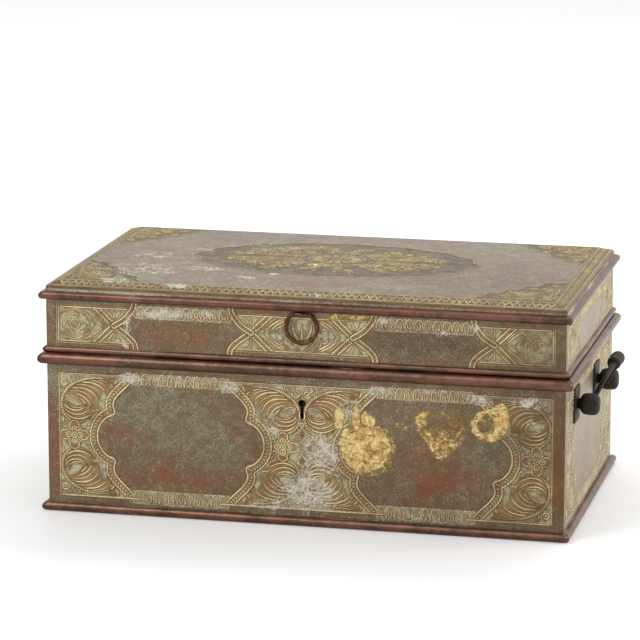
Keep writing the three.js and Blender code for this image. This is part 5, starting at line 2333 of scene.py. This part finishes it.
    def make(self, palette: Palette) -> None:
        """Adds the handle's five pieces."""
        name = f"{self.side.name.lower()}_handle"
        for end in (-1, 1):
            at = end * self.spacing / 2
            front = (end < 0) == (self.side is Side.RIGHT)
            place = "front" if front else "back"
            self.backplate(at).make(f"{name}_{place}_backplate_cut", Body.BASE, [palette.iron],
                                    f"{name}_{place}_backplate")
            self.stud(at).make(f"{name}_{place}_stud_turned", Body.BASE, [palette.iron],
                               f"{name}_{place}_stud")
        self.bail().make(f"{name}_bail_forged", self.body, [palette.iron], f"{name}_bail")


@dataclass
class Studio:
    """The pale floor, the soft lamps and the camera."""

    camera_at: tuple[float, float, float] = (0.6553, -2.8676, 0.8044)
    yaw: float = 13.16
    pitch: float = 12.53
    lens: float = 192.8
    sensor: float = 36.0
    sky: float = 0.62
    glow: float = 0.28

    @staticmethod
    def where_seen(nodes: Nodes, plain: float, seen: float) -> Socket:
        """Gives a strength that differs where a surface is seen, mirrored or seen through glass.

        Args:
            nodes: the material's or the world's nodes.
            plain: the strength as light on the casket.
            seen: the strength for what the eye and the mirroring metal see.

        Returns:
            The strength.
        """
        rays = nodes.node("LightPath", {}).outputs
        total = rays["Is Camera Ray"]
        for kind in ("Is Glossy Ray", "Is Transmission Ray"):
            total = nodes.node("Math", {0: total, 1: rays[kind]}, operation="MAXIMUM").outputs[0]
        feeds = {"Value": total, "To Min": plain, "To Max": seen}
        return nodes.node("MapRange", feeds).outputs["Result"]

    def floor(self) -> None:
        """Adds the floor, whose glow for the eye and for mirroring metal is weaker near the
        casket, a painted shade round it.
        """
        size = 9.0
        mesh = bpy.data.meshes.new("floor")
        mesh.from_pydata([(-size, -size, 0), (size, -size, 0), (size, size, 0), (-size, size, 0)],
                         [], [(0, 1, 2, 3)])
        piece = bpy.data.objects.new("studio_floor", mesh)
        bpy.context.scene.collection.objects.link(piece)
        finish = Finish("Studio floor")
        away = finish.node("VectorMath", {0: finish.place()}, operation="LENGTH").outputs["Value"]
        feeds = {
            "Base Color": (0.88, 0.88, 0.88, 1), "Roughness": 0.9,
            "Emission Strength": self.where_seen(finish, 0.0, self.glow),
            # Painted shade: the glow falls to 0.35 of its strength near the middle, so the floor
            # round the casket reads darker.
            "Emission Color": finish.step(away, 0.3, 1.8, 0.35),
        }
        for name, value in feeds.items():
            finish.join(value, finish.shader[name])
        mesh.materials.append(finish.material)

    def world(self) -> None:
        """Sets the surroundings: white where they are seen or mirrored, and softer as light."""
        world = bpy.data.worlds.new("Studio")
        bpy.context.scene.world = world
        world.use_nodes = True
        nodes = Nodes(world.node_tree)
        background = nodes.tree.nodes["Background"].inputs
        background["Color"].default_value = (1, 1, 1, 1)
        nodes.join(self.where_seen(nodes, self.sky, 1.0), background["Strength"])

    def lamp(
        self, name: str, at: tuple[float, float, float], size: tuple[float, float], power: float
    ) -> None:
        """Adds a soft rectangular lamp that faces the casket.

        Args:
            name: the lamp's name.
            at: its place, in metres.
            size: its width and height, in metres.
            power: its power in watts.
        """
        lamp = bpy.data.lights.new(name, "AREA")
        lamp.shape = "RECTANGLE"
        lamp.size, lamp.size_y = size
        lamp.energy = power
        holder = bpy.data.objects.new(name, lamp)
        holder.location = at
        aim = Vector((0.0, 0.0, 0.1)) - Vector(at)
        holder.rotation_euler = aim.to_track_quat("-Z", "Y").to_euler()
        bpy.context.scene.collection.objects.link(holder)

    def camera(self) -> None:
        """Adds the camera where the photograph was taken from."""
        camera = bpy.data.cameras.new("Camera")
        camera.lens, camera.sensor_width = self.lens, self.sensor
        camera.clip_end = 60
        holder = bpy.data.objects.new("Camera", camera)
        holder.location = self.camera_at
        holder.rotation_euler = (math.radians(90 - self.pitch), 0.0, math.radians(self.yaw))
        bpy.context.scene.collection.objects.link(holder)
        bpy.context.scene.camera = holder

    def make(self) -> None:
        """Sets up the whole studio."""
        bpy.context.scene.view_settings.view_transform = "Standard"
        self.camera()
        self.floor()
        self.world()
        self.lamp("Key", (-1.6, -1.8, 2.2), (1.6, 1.2), 38)
        self.lamp("Right", (2.4, 0.6, 1.0), (1.6, 1.6), 34)
        self.lamp("Top", (0.2, 1.6, 2.2), (2.4, 1.0), 26)


@dataclass
class Casket:
    """The whole casket."""

    frame: dict
    palette: Palette

    def dress(self) -> None:
        """Gives the CAD pieces that stay as they are their finishes."""
        plain = {
            "base_floor": self.palette.inside, "lock_case": self.palette.fitting,
            "lock_bolt": self.palette.iron, "lock_staple": self.palette.iron,
        }
        for name, material in plain.items():
            node = self.frame["nodes"][name]
            for slot in node.material_slots:
                slot.material = material
            log.info("%s: dressed", name)

    def make(self) -> None:
        """Builds every piece in turn."""
        Walls(self.palette).make()
        make_lid_top(self.palette)
        make_mouldings(self.palette.moulding)
        Hinge("left", -130.0, ((-119.0, 3), (-141.0, 4))).make(self.palette)
        Hinge("right", 130.0, ((141.0, 1), (119.0, 2))).make(self.palette)
        RingPull().make(self.palette)
        Handle(Side.RIGHT, Body.RIGHT_BAIL).make(self.palette)
        Handle(Side.LEFT, Body.LEFT_BAIL).make(self.palette)
        self.dress()


def corners(box: Sequence[Vector]) -> list[list[float]]:
    """Turns a box's two corners into plain lists."""
    return [[float(value) for value in corner] for corner in box]


def main() -> None:
    """Loads the frame and builds the casket and its studio."""
    logging.basicConfig(level=logging.INFO, format="%(name)s %(message)s")
    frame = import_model()
    Studio().make()
    Casket(frame, Palette.mixed()).make()


if __name__ == "__main__":
    main()
